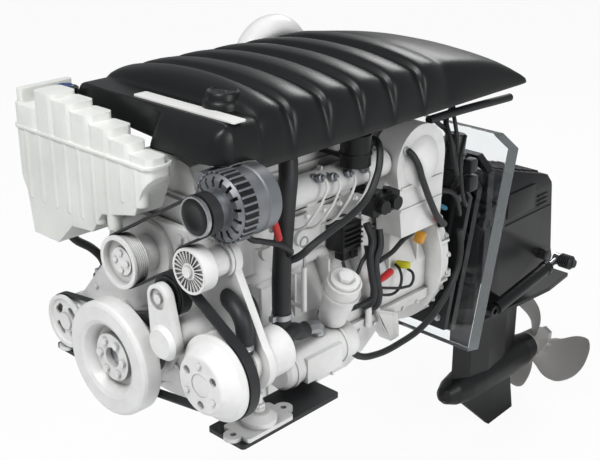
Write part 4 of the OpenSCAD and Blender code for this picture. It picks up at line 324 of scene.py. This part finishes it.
# Cap top: a blue polypropylene disc, clipped into the black cap so that it turns with it. Its rim
# stands up round a shallow dish.
blue, tree, out = start("blue_polypropylene")
place = add(tree, "TexCoord", {})
haze = add(tree, "TexNoise", {"Vector": place.outputs["Object"], "Scale": 150, "Detail": 2})
rough = add(tree, "MapRange", {"Value": haze.outputs["Fac"], "To Min": 0.3, "To Max": 0.42})
skin = add(tree, "BsdfPrincipled", {"Base Color": linear("#27406f"), "Roughness": rough.outputs[0],
                                    "IOR": 1.49})
tree.links.new(skin.outputs[0], out.inputs["Surface"])
low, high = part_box("tank_cap")
cap_x, cap_y, cap_top = (low.x + high.x) / 2 * mm, (low.y + high.y) / 2 * mm, high.z * mm
disc_sunk, disc_proud = 1.5, 3
disc = stack("cap_top", (cap_x, cap_y, cap_top - disc_sunk), (cap_x, cap_y, cap_top + disc_proud),
             ((0, 19), (0.7, 19), (1, 17.5), (1, 14.5), (0.75, 13.5), (0.75, 2)), 40)
keep(disc, blue, "cap")

# Alternator: shells of pressure die-cast aluminium, left bare, with the grey of a tumbled casting. A
# bright steel rim and a black dust cap close the front of its pulley.
diecast, tree, out = start("die_cast_aluminium")
place = add(tree, "TexCoord", {})
grain = add(tree, "TexNoise", {"Vector": place.outputs["Object"], "Scale": 500, "Detail": 3})
cloud = add(tree, "TexNoise", {"Vector": place.outputs["Object"], "Scale": 30, "Detail": 4})
rough = add(tree, "MapRange", {"Value": cloud.outputs["Fac"], "To Min": 0.36, "To Max": 0.56})
round_edge = add(tree, "Bevel", {"samples": 4, "Radius": 0.0012})
bump = add(tree, "Bump", {"Height": grain.outputs["Fac"], "Strength": 0.3, "Distance": 0.0005,
                          "Normal": round_edge.outputs[0]})
skin = add(tree, "BsdfPrincipled", {"Base Color": linear("#8f9296"), "Metallic": 0.9,
                                    "Roughness": rough.outputs[0], "Normal": bump.outputs[0]})
tree.links.new(skin.outputs[0], out.inputs["Surface"])
dress(diecast, "alternator_body")
low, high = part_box("alternator_pulley")
spin_y, spin_z, face = (low.y + high.y) / 2 * mm, (low.z + high.z) / 2 * mm, high.x * mm
ring = stack("alternator_rim", (face - 6, spin_y, spin_z), (face + 1.5, spin_y, spin_z),
             ((0, 37), (0, 39), (1, 39), (1, 35.5), (0.6, 35.5), (0.6, 4)), 48)
keep(ring, steel, "alternator")
disc = stack("alternator_dust_cap", (face - 4, spin_y, spin_z), (face + 2.5, spin_y, spin_z),
             ((0, 34.5), (0.85, 34.5), (1, 33), (1, 20), (0.9, 19), (0.9, 2)), 48)
keep(disc, nylon, "alternator")


def copy_of(piece, move):
    """Gives a moved copy of a piece, with its own mesh."""
    twin = bpy.data.objects.new(piece.name, piece.data.copy())
    twin.data.transform(move)
    bpy.context.scene.collection.objects.link(twin)
    return twin


def joined(first, others):
    """Joins the other pieces into the first."""
    bpy.ops.object.select_all(action="DESELECT")
    for piece in [first] + others:
        piece.select_set(True)
    bpy.context.view_layer.objects.active = first
    bpy.ops.object.join()
    return first


# Slots round the alternator's shoulder, between cast bars that are part of the shell: a black band just
# under the bars stands for the windings and for the shade inside the slots, painted in. One bar is modelled
# and copied round the shaft.
shell_y, shell_z, slots_aft, slots_fore = 250, 371, 864, 897
bar_count, bar_size, bar_radius, bar_mid = 30, (0.036, 0.0046, 0.005), 0.0685, 880.5
# Painted shade: the black band sits just under the bars and darkens the slots as well as standing for the
# windings.
band = stack("alternator_windings_and_slot_shade", (slots_aft, shell_y, shell_z), (slots_fore, shell_y, shell_z),
             ((0, 66), (0, 68.3), (1, 68.3), (1, 66)), 60)
keep(band, nylon, "root")
bpy.ops.mesh.primitive_cube_add(size=1, location=(0, 0, 0))
bar = bpy.context.object
bar.name = "alternator_bars"
bar.data.transform(Matrix.Translation((0, 0, bar_radius)) @ Matrix.Diagonal((*bar_size, 1)))
bpy.ops.object.mode_set(mode="EDIT")
bpy.ops.mesh.select_all(action="SELECT")
bpy.ops.mesh.bevel(offset=0.001, segments=2, affect="EDGES")
bpy.ops.object.mode_set(mode="OBJECT")
turns = [math.radians(360 / bar_count * k) for k in range(1, bar_count)]
joined(bar, [copy_of(bar, Matrix.Rotation(turn, 4, "X")) for turn in turns])
bar.data.transform(Matrix.Translation(Vector((bar_mid, shell_y, shell_z)) / mm))
keep(bar, diecast, "root")

# Belts and hoses: black EPDM rubber, matt, with the faint print of the cloth it was cured in. The
# hoses are pushed over their stubs and follow the routes of the solid model.
rubber, tree, out = start("cured_black_rubber")
place = add(tree, "TexCoord", {})
weave = add(tree, "TexNoise", {"Vector": place.outputs["Object"], "Scale": 650, "Detail": 2})
cloud = add(tree, "TexNoise", {"Vector": place.outputs["Object"], "Scale": 18, "Detail": 4})
tone = add(tree, "ValToRGB", {"Fac": cloud.outputs["Fac"]})
tone.color_ramp.elements[0].color, tone.color_ramp.elements[1].color = linear("#161718"), linear("#26272a")
bump = add(tree, "Bump", {"Height": weave.outputs["Fac"], "Strength": 0.3, "Distance": 0.0005})
skin = add(tree, "BsdfPrincipled", {"Base Color": tone.outputs[0], "Roughness": 0.52, "IOR": 1.52,
                                    "Normal": bump.outputs[0]})
tree.links.new(skin.outputs[0], out.inputs["Surface"])
dress(rubber, "long_belt", "steering_belt", "mount_pads")


def tube(name, points, radius, sides=6):
    """Sweeps a round tube along a smooth line through points in millimetres, and makes it a mesh."""
    path = bpy.data.curves.new(name, "CURVE")
    path.dimensions, path.bevel_depth, path.bevel_resolution = "3D", radius / mm, sides
    path.resolution_u, path.use_fill_caps = 10, True
    line = path.splines.new("BEZIER")
    line.bezier_points.add(len(points) - 1)
    for knot, point in zip(line.bezier_points, points):
        knot.co = [c / mm for c in point]
        knot.handle_left_type = knot.handle_right_type = "AUTO"
    made = bpy.data.objects.new(name, path)
    bpy.context.scene.collection.objects.link(made)
    bpy.ops.object.select_all(action="DESELECT")
    made.select_set(True)
    bpy.context.view_layer.objects.active = made
    bpy.ops.object.convert(target="MESH")
    bpy.ops.object.shade_smooth_by_angle(angle=soft_crease)
    return bpy.context.object


hose_routes = (
    ("upper_coolant_hose", 20, ((706, 218, 5.4), (706, 218, 45), (706, 218, 84), (704, 216, 150),
                                (697, 215, 230), (686, 214, 320), (676, 210, 380), (668, 196, 418),
                                (662, 170, 430))),
    ("branch_hose", 18, ((764.2, 236, 6), (746, 236, 6), (716, 236, 27), (690, 234, 34), (666, 229, 22),
                         (652, 226, 18), (640.4, 226, 18))),
    ("raw_water_elbow", 22, ((812, 232, 92.4), (812, 232, 112), (812, 226, 130), (812, 208, 141),
                             (812, 180, 145), (812, 152, 145), (812, 126.4, 145))),
    ("expansion_hose", 10, ((870, -336, 303), (870, -338, 250), (862, -334, 190), (842, -315, 135),
                            (815, -280, 108), (802, -262, 80), (802, -262, 48.4))),
    ("filter_hose", 8, ((372, 156, 334.2), (372, 156, 352), (382, 184, 374), (402, 218, 372),
                        (420, 236, 344), (436, 241, 312), (466, 244, 278), (524, 250, 254),
                        (590, 254, 240), (650, 252, 222), (676, 240, 202), (692, 224, 192))),
    ("alternator_lead", 6, ((830, 250, 300.4), (826, 253, 290), (804, 260, 280), (770, 263, 266),
                            (736, 260, 246), (706, 246, 222), (698, 226, 206))),
    ("breather_hose", 8, ((290, 205.4, 330), (290, 215, 330), (284, 230, 312), (262, 234, 262),
                          (226, 232, 200), (182, 226, 142), (142, 214, 114), (118, 193, 100),
                          (113, 180.2, 94.2))),
    ("return_hose", 8, ((490, 218, -92), (450, 218, -126), (395, 218, -144), (299, 216, -150),
                        (196, 212, -138), (118, 208, -100), (62, 204, -40), (48, 202, 22),
                        (56, 200, 70))),
    ("tiller_tube", 10, ((176, 180, 373), (100, 180, 372), (0, 180, 369), (-90, 180, 365), (-162, 180, 362))),
)
for name, radius, points in hose_routes:
    keep(tube(name, points, radius), rubber, "root", "hoses")

# Raw-water inlet: a moulded rubber elbow, pushed over the stub beside the pump. It rises in front of
# the timing cover and enters its face.
inlet_r = 17
inlet = tube("raw_water_inlet", ((893, 303, 88), (893, 304, 112), (893, 303, 135), (892, 296, 156),
                                 (889, 280, 170), (884, 260, 175), (876, 243, 176), (866, 232, 176)),
                                 inlet_r, 8)
keep(inlet, rubber, "root")

# Band clamps: stainless strips with rolled edges, drawn tight over the ends of the hoses, where each
# one lies on its stub.
strap_shape = ((0, 0), (0, 1.6), (0.12, 1.8), (0.2, 1.1), (0.8, 1.1), (0.88, 1.8), (1, 1.6), (1, 0))
for name, foot, tip, radius in (("inlet_clamp", (893, 303, 98), (893, 303.5, 109), inlet_r),
                                ("filter_clamp", (372, 156, 339), (372, 156, 348), 8),
                                ("breather_clamp", (290, 207, 330), (290, 214, 330), 8),
                                ("return_clamp", (486, 218, -95), (478, 218, -103), 8),
                                ("coolant_clamp", (668.8, 198, 414), (666.5, 190, 421), 20)):
    rings = [(share, radius + proud) for share, proud in strap_shape]
    strap = stack(name, foot, tip, rings, 36)
    keep(strap, steel, "root")

# Fuel rail side of the head. Five injectors stand in the white inlet casting under the cover, and
# bare steel pipes, sprayed white with the rest, run down from them to the pump.
injector_root, injector_end = 168, 203
injector_rings = ((0, 11), (0.25, 11), (0.28, 8), (0.55, 8), (0.58, 10), (0.8, 10), (0.84, 6), (1, 6), (1, 3))
for count, (x, z) in enumerate(((668, 318), (560, 330), (520, 322), (470, 318), (420, 316))):
    body = stack(f"injector_{count}", (x, injector_root, z - 6), (x, injector_end, z + 4),
                 injector_rings, 6 if count % 2 else 20)
    keep(body, diecast, "root")
    route = ((x, 199, z + 2), (x - 2, 208, z - 6), (x + 4, 207, z - 36), (x + 22, 196, z - 74),
             (x + 40, 178, z - 104), (x + 44, 150, z - 116))
    keep(tube(f"fuel_pipe_{count}", route, 3, 3), enamel, "root")

# Fasteners. Flanged hex screws hold the bell housing, the timing cover, the inlet casting and the pan;
# they were torqued before the engine was sprayed, so they are white too.
head_sunk = 1.5
head_shape = ((0, 1.35), (0.28, 1.35), (0.34, 1), (0.88, 1), (1, 0.82), (1, 0.3))


def screw_heads(name, spots, way, radius):
    """Turns one hex head with its flange on the first spot, and joins copies of it on the others."""
    way, spots = Vector(way), [Vector(spot) for spot in spots]
    rings = [(share, radius * part) for share, part in head_shape]
    head = stack(name, spots[0] - way * head_sunk, spots[0] + way * radius, rings, 6)
    return joined(head, [copy_of(head, Matrix.Translation((spot - spots[0]) / mm)) for spot in spots[1:]])


bell_face, bell_r = 95.4, 198
bell_turns = [math.radians(a) for a in (*range(-66, 61, 14), *range(120, 241, 20))]
bell_ring = [(bell_face, bell_r * math.cos(a), bell_r * math.sin(a)) for a in bell_turns]
cover_rim = ((868, 190, -40), (868, 198, 0), (868, 200, 120), (868, 99, 171.5), (868, 150, -80),
             (868, -200, 60), (868, 120, 260), (868, 60, 160), (868, -60, 160))
for name, spots, way, radius in (
        ("bell_screws", bell_ring, (1, 0, 0), 6.5), ("cover_screws", cover_rim, (1, 0, 0), 5.5),
        ("inlet_screws", [(x, 189, 256) for x in range(340, 705, 52)], (0, 1, 0), 6),
        ("pan_screws", [(x, 170, -96) for x in (*range(180, 456, 55), 735, 785)], (0, 1, 0), 5)):
    keep(screw_heads(name, spots, way, radius), enamel, "root")

# Control unit. A finned die-cast box, black coated, fixed beside the block, with four cooling
# fins on its outer side and its sockets downwards, so that no water stands in them.
def brick(name, low, high, edge):
    """Makes a box between two corners in millimetres, with rounded edges."""
    low, high = Vector(low) / mm, Vector(high) / mm
    bpy.ops.mesh.primitive_cube_add(size=1, location=(0, 0, 0))
    made = bpy.context.object
    made.name = name
    made.data.transform(Matrix.Translation((low + high) / 2) @ Matrix.Diagonal((*(high - low), 1)))
    bpy.ops.object.mode_set(mode="EDIT")
    bpy.ops.mesh.select_all(action="SELECT")
    bpy.ops.mesh.bevel(offset=edge / mm, segments=3, affect="EDGES")
    bpy.ops.object.mode_set(mode="OBJECT")
    bpy.ops.object.shade_smooth_by_angle(angle=crisp_crease)
    return made


fin_t, plug_w = 4, 23
boxes = [("control_unit", (398, 118, 118), (462, 172, 188), 4)]
for letter, z in zip("abcd", (170, 158, 146, 134)):
    boxes.append(("control_fin_" + letter, (402, 168, z), (458, 180, z + fin_t), 1.2))
for letter, x, z in (("a", 404, 96), ("b", 433, 98)):
    boxes.append(("control_plug_" + letter, (x, 140, z), (x + plug_w, 168, 120), 3))
for name, low, high, edge in boxes:
    keep(brick(name, low, high, edge), nylon, "root")

# Gusset rib and drain. A cast rib stiffens the pan rail behind the filter, and a small white drain
# sleeve is pressed into the block in front of it.
rib_root, rib_depth, rib_crown, rib_slope = 148, 0.036, 0.009, 0.008
outline = ((349, -31), (337, -59), (268, -92), (264, -156), (278, -158), (295, -158), (320, -122), (356, -50))
bpy.ops.object.select_all(action="DESELECT")
bpy.ops.mesh.primitive_circle_add(vertices=len(outline), radius=1, fill_type="NGON")
rib = bpy.context.object
rib.name = "gusset_rib"
for corner, (x, z) in zip(rib.data.vertices, outline):
    corner.co = (x / mm, rib_root / mm, z / mm)
bpy.ops.object.mode_set(mode="EDIT")
bpy.ops.mesh.select_all(action="SELECT")
bpy.ops.mesh.extrude_region_move(TRANSFORM_OT_translate={"value": (0, rib_depth, 0)})
bpy.ops.mesh.inset(thickness=rib_crown, depth=0)
bpy.ops.transform.translate(value=(0, -rib_slope, 0))
bpy.ops.mesh.select_all(action="SELECT")
bpy.ops.mesh.normals_make_consistent(inside=False)
bpy.ops.object.mode_set(mode="OBJECT")
bpy.ops.object.shade_smooth_by_angle(angle=crisp_crease)
keep(rib, enamel, "root")
sleeve = stack("drain_sleeve", (372, 176, -30), (373, 176, -92),
               ((0, 7), (0.03, 8.5), (0.3, 8.5), (0.34, 8), (0.8, 8), (0.84, 9), (0.96, 9), (1, 8),
                (1, 5)), 24)
keep(sleeve, enamel, "root")

# Wiring harness. Copper looms in split black conduit, gathered beside the block into one trunk that
# forks to the sensors, the filter and the starter. Soft coloured boots keep salt off the terminals.
looms = (
    (9, ((392, 180, 176), (383, 190, 136), (396, 196, 102), (392, 200, 55), (383, 200, 9),
         (377, 186, -25), (380, 168, -40))),
    (9, ((352, 184, 152), (361, 196, 117), (382, 202, 85), (378, 204, 39), (365, 200, -8),
         (362, 188, -38), (366, 166, -52))),
    (8, ((376, 182, 160), (372, 186, 120), (385, 190, 80), (372, 190, 30), (372, 190, -16), (358, 176, -44))),
    (5.5, ((380, 192, 20), (382, 196, -3), (421, 196, -10), (475, 192, -10), (519, 186, -4), (540, 168, 2))),
    (4, ((452, 163, 96), (458, 176, 75), (473, 186, 52), (473, 192, 27), (445, 196, -4),
         (402, 192, -16), (380, 184, -14))),
    (5, ((388, 176, 120), (392, 182, 102), (407, 182, 87), (427, 182, 58), (441, 164, 22))),
    (6, ((200, 166, 96), (222, 180, 103), (272, 192, 103), (322, 200, 90), (368, 200, 82))),
    (3.5, ((262, 164, 30), (266, 182, 21), (270, 190, -9), (290, 194, -22), (334, 196, -17), (374, 198, 4))),
    (3.5, ((216, 166, 4), (222, 188, -2), (230, 192, -22), (259, 194, -22), (319, 196, -4), (374, 198, 17))),
    (7, ((20, 150, 160), (62, 192, 200), (92, 202, 246), (96, 192, 300), (80, 160, 350), (40, 150, 372))),
    (6, ((-20, 90, 236), (40, 140, 290), (84, 164, 326), (124, 170, 352), (150, 170, 372))),
    (5, ((-14, 120, 214), (44, 168, 236), (70, 190, 290), (74, 184, 340), (60, 160, 380))),
    (5, ((4, 170, 120), (34, 200, 128), (60, 208, 160), (70, 206, 214), (52, 190, 262), (10, 170, 296))),
    (6, ((160, 168, 176), (132, 196, 190), (96, 204, 176), (60, 196, 132), (28, 178, 96))),
)
for count, (radius, points) in enumerate(looms):
    keep(tube(f"loom_{count}", points, radius, 4), rubber, "root")

# Terminal boots and sensor caps: soft PVC, dipped over a former, so it is smooth and a little glossy. Each
# has its own colour, so that no lead goes on the wrong terminal.
for name, colour, foot, tip, rings in (
        ("red_terminal_boot", "#c8292b", (310, 190, 35), (378, 198, 26),
         ((0, 8), (0.06, 9), (0.45, 9), (0.6, 7.5), (0.95, 6.5), (1, 5))),
        ("yellow_sensor_cap", "#d3cf22", (252, 160, 26), (240, 192, 28),
         ((0, 9), (0.1, 9.5), (0.72, 9.5), (0.9, 8.5), (1, 6))),
        ("orange_sensor_ring", "#d99a2e", (200, 176, 88), (194, 196, 84),
         ((0, 15), (0.2, 16), (0.8, 16), (1, 14), (1, 9))),
        ("red_relay_boot", "#c2302e", (168, 196, 150), (160, 212, 128),
         ((0, 9), (0.1, 10), (0.8, 10), (1, 8))),
        ("blue_relay_plug", "#2b6f86", (149, 196, 161), (126, 208, 146),
         ((0, 5), (0.1, 6), (0.85, 6), (1, 4))),
        ("red_alternator_boot", "#cf3a38", (735, 226, 300), (725, 232, 250),
         ((0, 5.5), (0.1, 6.5), (0.5, 7.5), (0.92, 7.5), (1, 6)))):
    pvc, tree, out = start("dipped_soft_pvc_" + name.split("_")[0])
    place = add(tree, "TexCoord", {})
    haze = add(tree, "TexNoise", {"Vector": place.outputs["Object"], "Scale": 120, "Detail": 2})
    rough = add(tree, "MapRange", {"Value": haze.outputs["Fac"], "To Min": 0.28, "To Max": 0.44})
    skin = add(tree, "BsdfPrincipled", {"Base Color": linear(colour), "Roughness": rough.outputs[0],
                                        "IOR": 1.53})
    tree.links.new(skin.outputs[0], out.inputs["Surface"])
    keep(stack(name, foot, tip, rings), pvc, "root")

# Steering pump: pressed steel under black dip paint, which lies thin and even and has a low shine. It is
# bolted low on the starboard side of the engine's front.
dip, tree, out = start("black_dip_paint")
place = add(tree, "TexCoord", {})
cloud = add(tree, "TexNoise", {"Vector": place.outputs["Object"], "Scale": 50, "Detail": 4})
rough = add(tree, "MapRange", {"Value": cloud.outputs["Fac"], "To Min": 0.32, "To Max": 0.5})
round_edge = add(tree, "Bevel", {"samples": 4, "Radius": 0.0015})
skin = add(tree, "BsdfPrincipled", {"Base Color": linear("#17181a"), "Roughness": rough.outputs[0],
                                    "IOR": 1.5, "Normal": round_edge.outputs[0]})
tree.links.new(skin.outputs[0], out.inputs["Surface"])
dress(dip, "steering_pump")

# Trim pump on the inside of the transom: a round motor on a small tank, with its two relays beside it,
# all held by the inner transom plate and black like the bracket behind.
motor_rings = ((0, 26), (0.04, 30), (0.4, 30), (0.42, 33), (0.48, 33), (0.5, 28), (0.92, 28), (1, 24),
               (1, 8), (1.04, 7), (1.04, 2))
pump = stack("trim_pump_motor", (-8, 120, 196), (-22, 120, 286), motor_rings, 36)
keep(pump, dip, "root")
for name, low, high, edge in (("trim_relay_a", (-30, 160, 150), (6, 190, 190), 4),
                              ("trim_relay_b", (-30, 160, 196), (0, 186, 232), 4),
                              ("trim_pump_foot", (-66, 96, 190), (0, 150, 206), 3)):
    keep(brick(name, low, high, edge), dip, "root")

# Transom board: 50 mm of cast acrylic. Its faces are clear and its sawn edges are frosted, with their
# corners lightly broken.
acrylic, tree, out = start("cast_clear_acrylic")
skin = add(tree, "BsdfPrincipled", {"Base Color": linear("#f6fafb"), "Roughness": 0.03, "IOR": 1.49,
                                    "Transmission Weight": 1.0})
shape = add(tree, "NewGeometry", {})
facing = add(tree, "SeparateXYZ", {"Vector": shape.outputs["True Normal"]})
squareness = add(tree, "Math", {"operation": "ABSOLUTE", 0: facing.outputs["X"]})
sawn_side = add(tree, "Math", {"operation": "LESS_THAN", 0: squareness.outputs[0], 1: 0.6})
share = add(tree, "Math", {"operation": "MULTIPLY", 0: sawn_side.outputs[0], 1: 0.4})
frost = add(tree, "BsdfDiffuse", {"Color": linear("#9aa1a3")})
mixed = add(tree, "MixShader", {0: share.outputs[0], 1: skin.outputs[0], 2: frost.outputs[0]})
tree.links.new(mixed.outputs[0], out.inputs["Surface"])
flat_angle = math.radians(1)
board = welded("transom_board")
bpy.ops.object.mode_set(mode="EDIT")
bpy.ops.mesh.select_all(action="SELECT")
bpy.ops.mesh.dissolve_limited(angle_limit=flat_angle)
bpy.ops.object.mode_set(mode="OBJECT")
sawn = board.modifiers.new("polished_edges", "BEVEL")
sawn.width, sawn.segments, sawn.limit_method, sawn.angle_limit = 0.0012, 2, "ANGLE", turned_crease
bpy.ops.object.modifier_apply(modifier=sawn.name)
keep(board, acrylic, "root", "transom_board")

# Outdrive and transom castings: aluminium under black marine paint, which lies even, with a low gloss
# and a little peel.
marine, tree, out = start("black_marine_paint")
place = add(tree, "TexCoord", {})
peel = add(tree, "TexNoise", {"Vector": place.outputs["Object"], "Scale": 150, "Detail": 3})
cloud = add(tree, "TexNoise", {"Vector": place.outputs["Object"], "Scale": 12, "Detail": 5})
rough = add(tree, "MapRange", {"Value": cloud.outputs["Fac"], "To Min": 0.36, "To Max": 0.52})
round_edge = add(tree, "Bevel", {"samples": 4, "Radius": 0.004})
bump = add(tree, "Bump", {"Height": peel.outputs["Fac"], "Strength": 0.12, "Distance": 0.0008,
                          "Normal": round_edge.outputs[0]})
skin = add(tree, "BsdfPrincipled", {"Base Color": linear("#121315"), "Roughness": rough.outputs[0],
                                    "IOR": 1.45, "Coat Weight": 0.12, "Coat Roughness": 0.2,
                                    "Normal": bump.outputs[0]})
tree.links.new(skin.outputs[0], out.inputs["Surface"])
dress(marine, "inner_transom_plate", "gimbal_housing", "gimbal_ring", "gearcase", "port_trim_barrel",
      "starboard_trim_barrel")

# Upper housing of the drive: a sand casting with rounded edges, a parting line round it, and a bare
# panel and three vents on each side.
casting = welded("drive_upper")
bpy.ops.object.mode_set(mode="EDIT")
bpy.ops.mesh.select_all(action="SELECT")
bpy.ops.mesh.dissolve_limited(angle_limit=flat_angle)
bpy.ops.object.mode_set(mode="OBJECT")
fillet = casting.modifiers.new("cast_edges", "BEVEL")
fillet.width, fillet.segments, fillet.limit_method, fillet.angle_limit = 0.0025, 2, "ANGLE", math.radians(30)
bpy.ops.object.modifier_apply(modifier=fillet.name)
bpy.ops.object.shade_smooth_by_angle(angle=turned_crease)
keep(casting, marine, "drive", "drive_upper")
drive_hw, strip_sunk, strip_rounding = 92, 2, 0.6
both_sides = ((1, "port"), (-1, "starboard"))
drive_strips = (("seam", -566, -250, -66, -60, 1.8), ("panel", -470, -330, -44, 30, 2.4),
                ("vent_a", -540, -490, -20, -14, 2.6), ("vent_b", -540, -490, -34, -28, 2.6),
                ("vent_c", -540, -490, -48, -42, 2.6))
for side, name in both_sides:
    for kind, x0, x1, z0, z1, proud in drive_strips:
        y0, y1 = sorted((side * (drive_hw - strip_sunk), side * (drive_hw + proud)))
        strip = brick(f"{name}_drive_{kind}", (x0, y0, z0), (x1, y1, z1), proud * strip_rounding)
        keep(strip, marine, "drive")

# Transom fastenings: stainless nuts clamp the inner plate and the gimbal housing through the board,
# so each sits square to the leaning plate.
board_lean, nut_r, nut_y = math.radians(13), 8, 150
lean = Vector((math.cos(board_lean), 0, math.sin(board_lean)))
inner_spots = [(59.9, y, -190) for y in (nut_y, 50, -50, -nut_y)] + [(-11.7, y, 120) for y in (nut_y, -nut_y)]
inner_spots += [(-22.1, y, 165) for y in (60, -60)]
outer_spots = [(x, y, z) for y in (nut_y, -nut_y) for x, z in ((-44.1, -120), (-71.8, 0), (-99.5, 120))]
for name, spots, way in (("inner_transom_nuts", inner_spots, lean),
                         ("outer_transom_nuts", outer_spots, -lean)):
    keep(screw_heads(name, spots, way, nut_r), steel, "root")

# Bellows round the universal joint: one rubber moulding, split here into a front and a rear half where
# the swivel's share of the bend ends.
front_x, split_x, rear_x = -0.09, -0.165, -0.2255
halves = (("bellows_front", True, ("root", "gimbal"), front_x, split_x),
          ("bellows_rear", False, ("gimbal", "drive"), split_x, rear_x))
for name, keeps_front, bodies, start_x, end_x in halves:
    half = welded("bellows")
    half.name = name
    bpy.ops.object.mode_set(mode="EDIT")
    bpy.ops.mesh.select_all(action="SELECT")
    bpy.ops.mesh.subdivide(number_cuts=1)
    bpy.ops.mesh.select_all(action="SELECT")
    bpy.ops.mesh.bisect(plane_co=(split_x, 0, 0), plane_no=(1, 0, 0), clear_inner=keeps_front,
                        clear_outer=not keeps_front, use_fill=False)
    bpy.ops.object.mode_set(mode="OBJECT")
    bpy.ops.object.shade_smooth_by_angle(angle=soft_crease)
    half.data.materials.clear()
    half.data.materials.append(rubber)
    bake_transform(half)
    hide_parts("bellows")
    bpy.ops.object.select_all(action="DESELECT")

# Trim anchor boots: ribbed nitrile sleeves over the pins at the rear ends of the trim rods. They are
# pushed on and keep grit off the pins.
pin_x, pin_z, boot_in, boot_out = -517, -203, 168.6, 216
rib_count, rib_pitch = 6, 0.13
ribs = [(0, 17)]
for k in range(rib_count):
    ribs += [(share + k * rib_pitch, radius) for share, radius in ((0.06, 21), (0.1, 21), (0.14, 17.5))]
ribs += [(0.86, 16), (0.9, 12), (1, 12), (1, 5)]
for side, name in both_sides:
    boot = stack(name + "_anchor_boot", (pin_x, side * boot_in, pin_z), (pin_x, side * boot_out, pin_z),
                 ribs, 28)
    keep(boot, rubber, "drive")

# Anode: a block of cast zinc, dull and pale, bolted under the anti-ventilation plate, where it wastes
# away in place of the drive.
zinc, tree, out = start("cast_zinc")
place = add(tree, "TexCoord", {})
grain = add(tree, "TexNoise", {"Vector": place.outputs["Object"], "Scale": 300, "Detail": 4})
bump = add(tree, "Bump", {"Height": grain.outputs["Fac"], "Strength": 0.3, "Distance": 0.0006})
skin = add(tree, "BsdfPrincipled", {"Base Color": linear("#9da1a4"), "Metallic": 0.8, "Roughness": 0.55,
                                    "Normal": bump.outputs[0]})
tree.links.new(skin.outputs[0], out.inputs["Surface"])
dress(zinc, "anode")

# Propeller: three blades on one hub, cast in aluminium and painted satin grey. It slides on the splined
# shaft, and the nut behind it holds it.
blade_paint, tree, out = start("satin_grey_propeller")
place = add(tree, "TexCoord", {})
cloud = add(tree, "TexNoise", {"Vector": place.outputs["Object"], "Scale": 24, "Detail": 4})
rough = add(tree, "MapRange", {"Value": cloud.outputs["Fac"], "To Min": 0.4, "To Max": 0.55})
skin = add(tree, "BsdfPrincipled", {"Base Color": linear("#a8a6a4"), "Metallic": 0.2,
                                    "Roughness": rough.outputs[0]})
tree.links.new(skin.outputs[0], out.inputs["Surface"])
blade_crease = math.radians(38)
screw = welded("propeller")
rounding = screw.modifiers.new("cast_curves", "SUBSURF")
rounding.levels = rounding.render_levels = 2
bpy.ops.object.modifier_apply(modifier=rounding.name)
bpy.ops.object.shade_smooth_by_angle(angle=blade_crease)
keep(screw, blade_paint, "prop", "propeller")
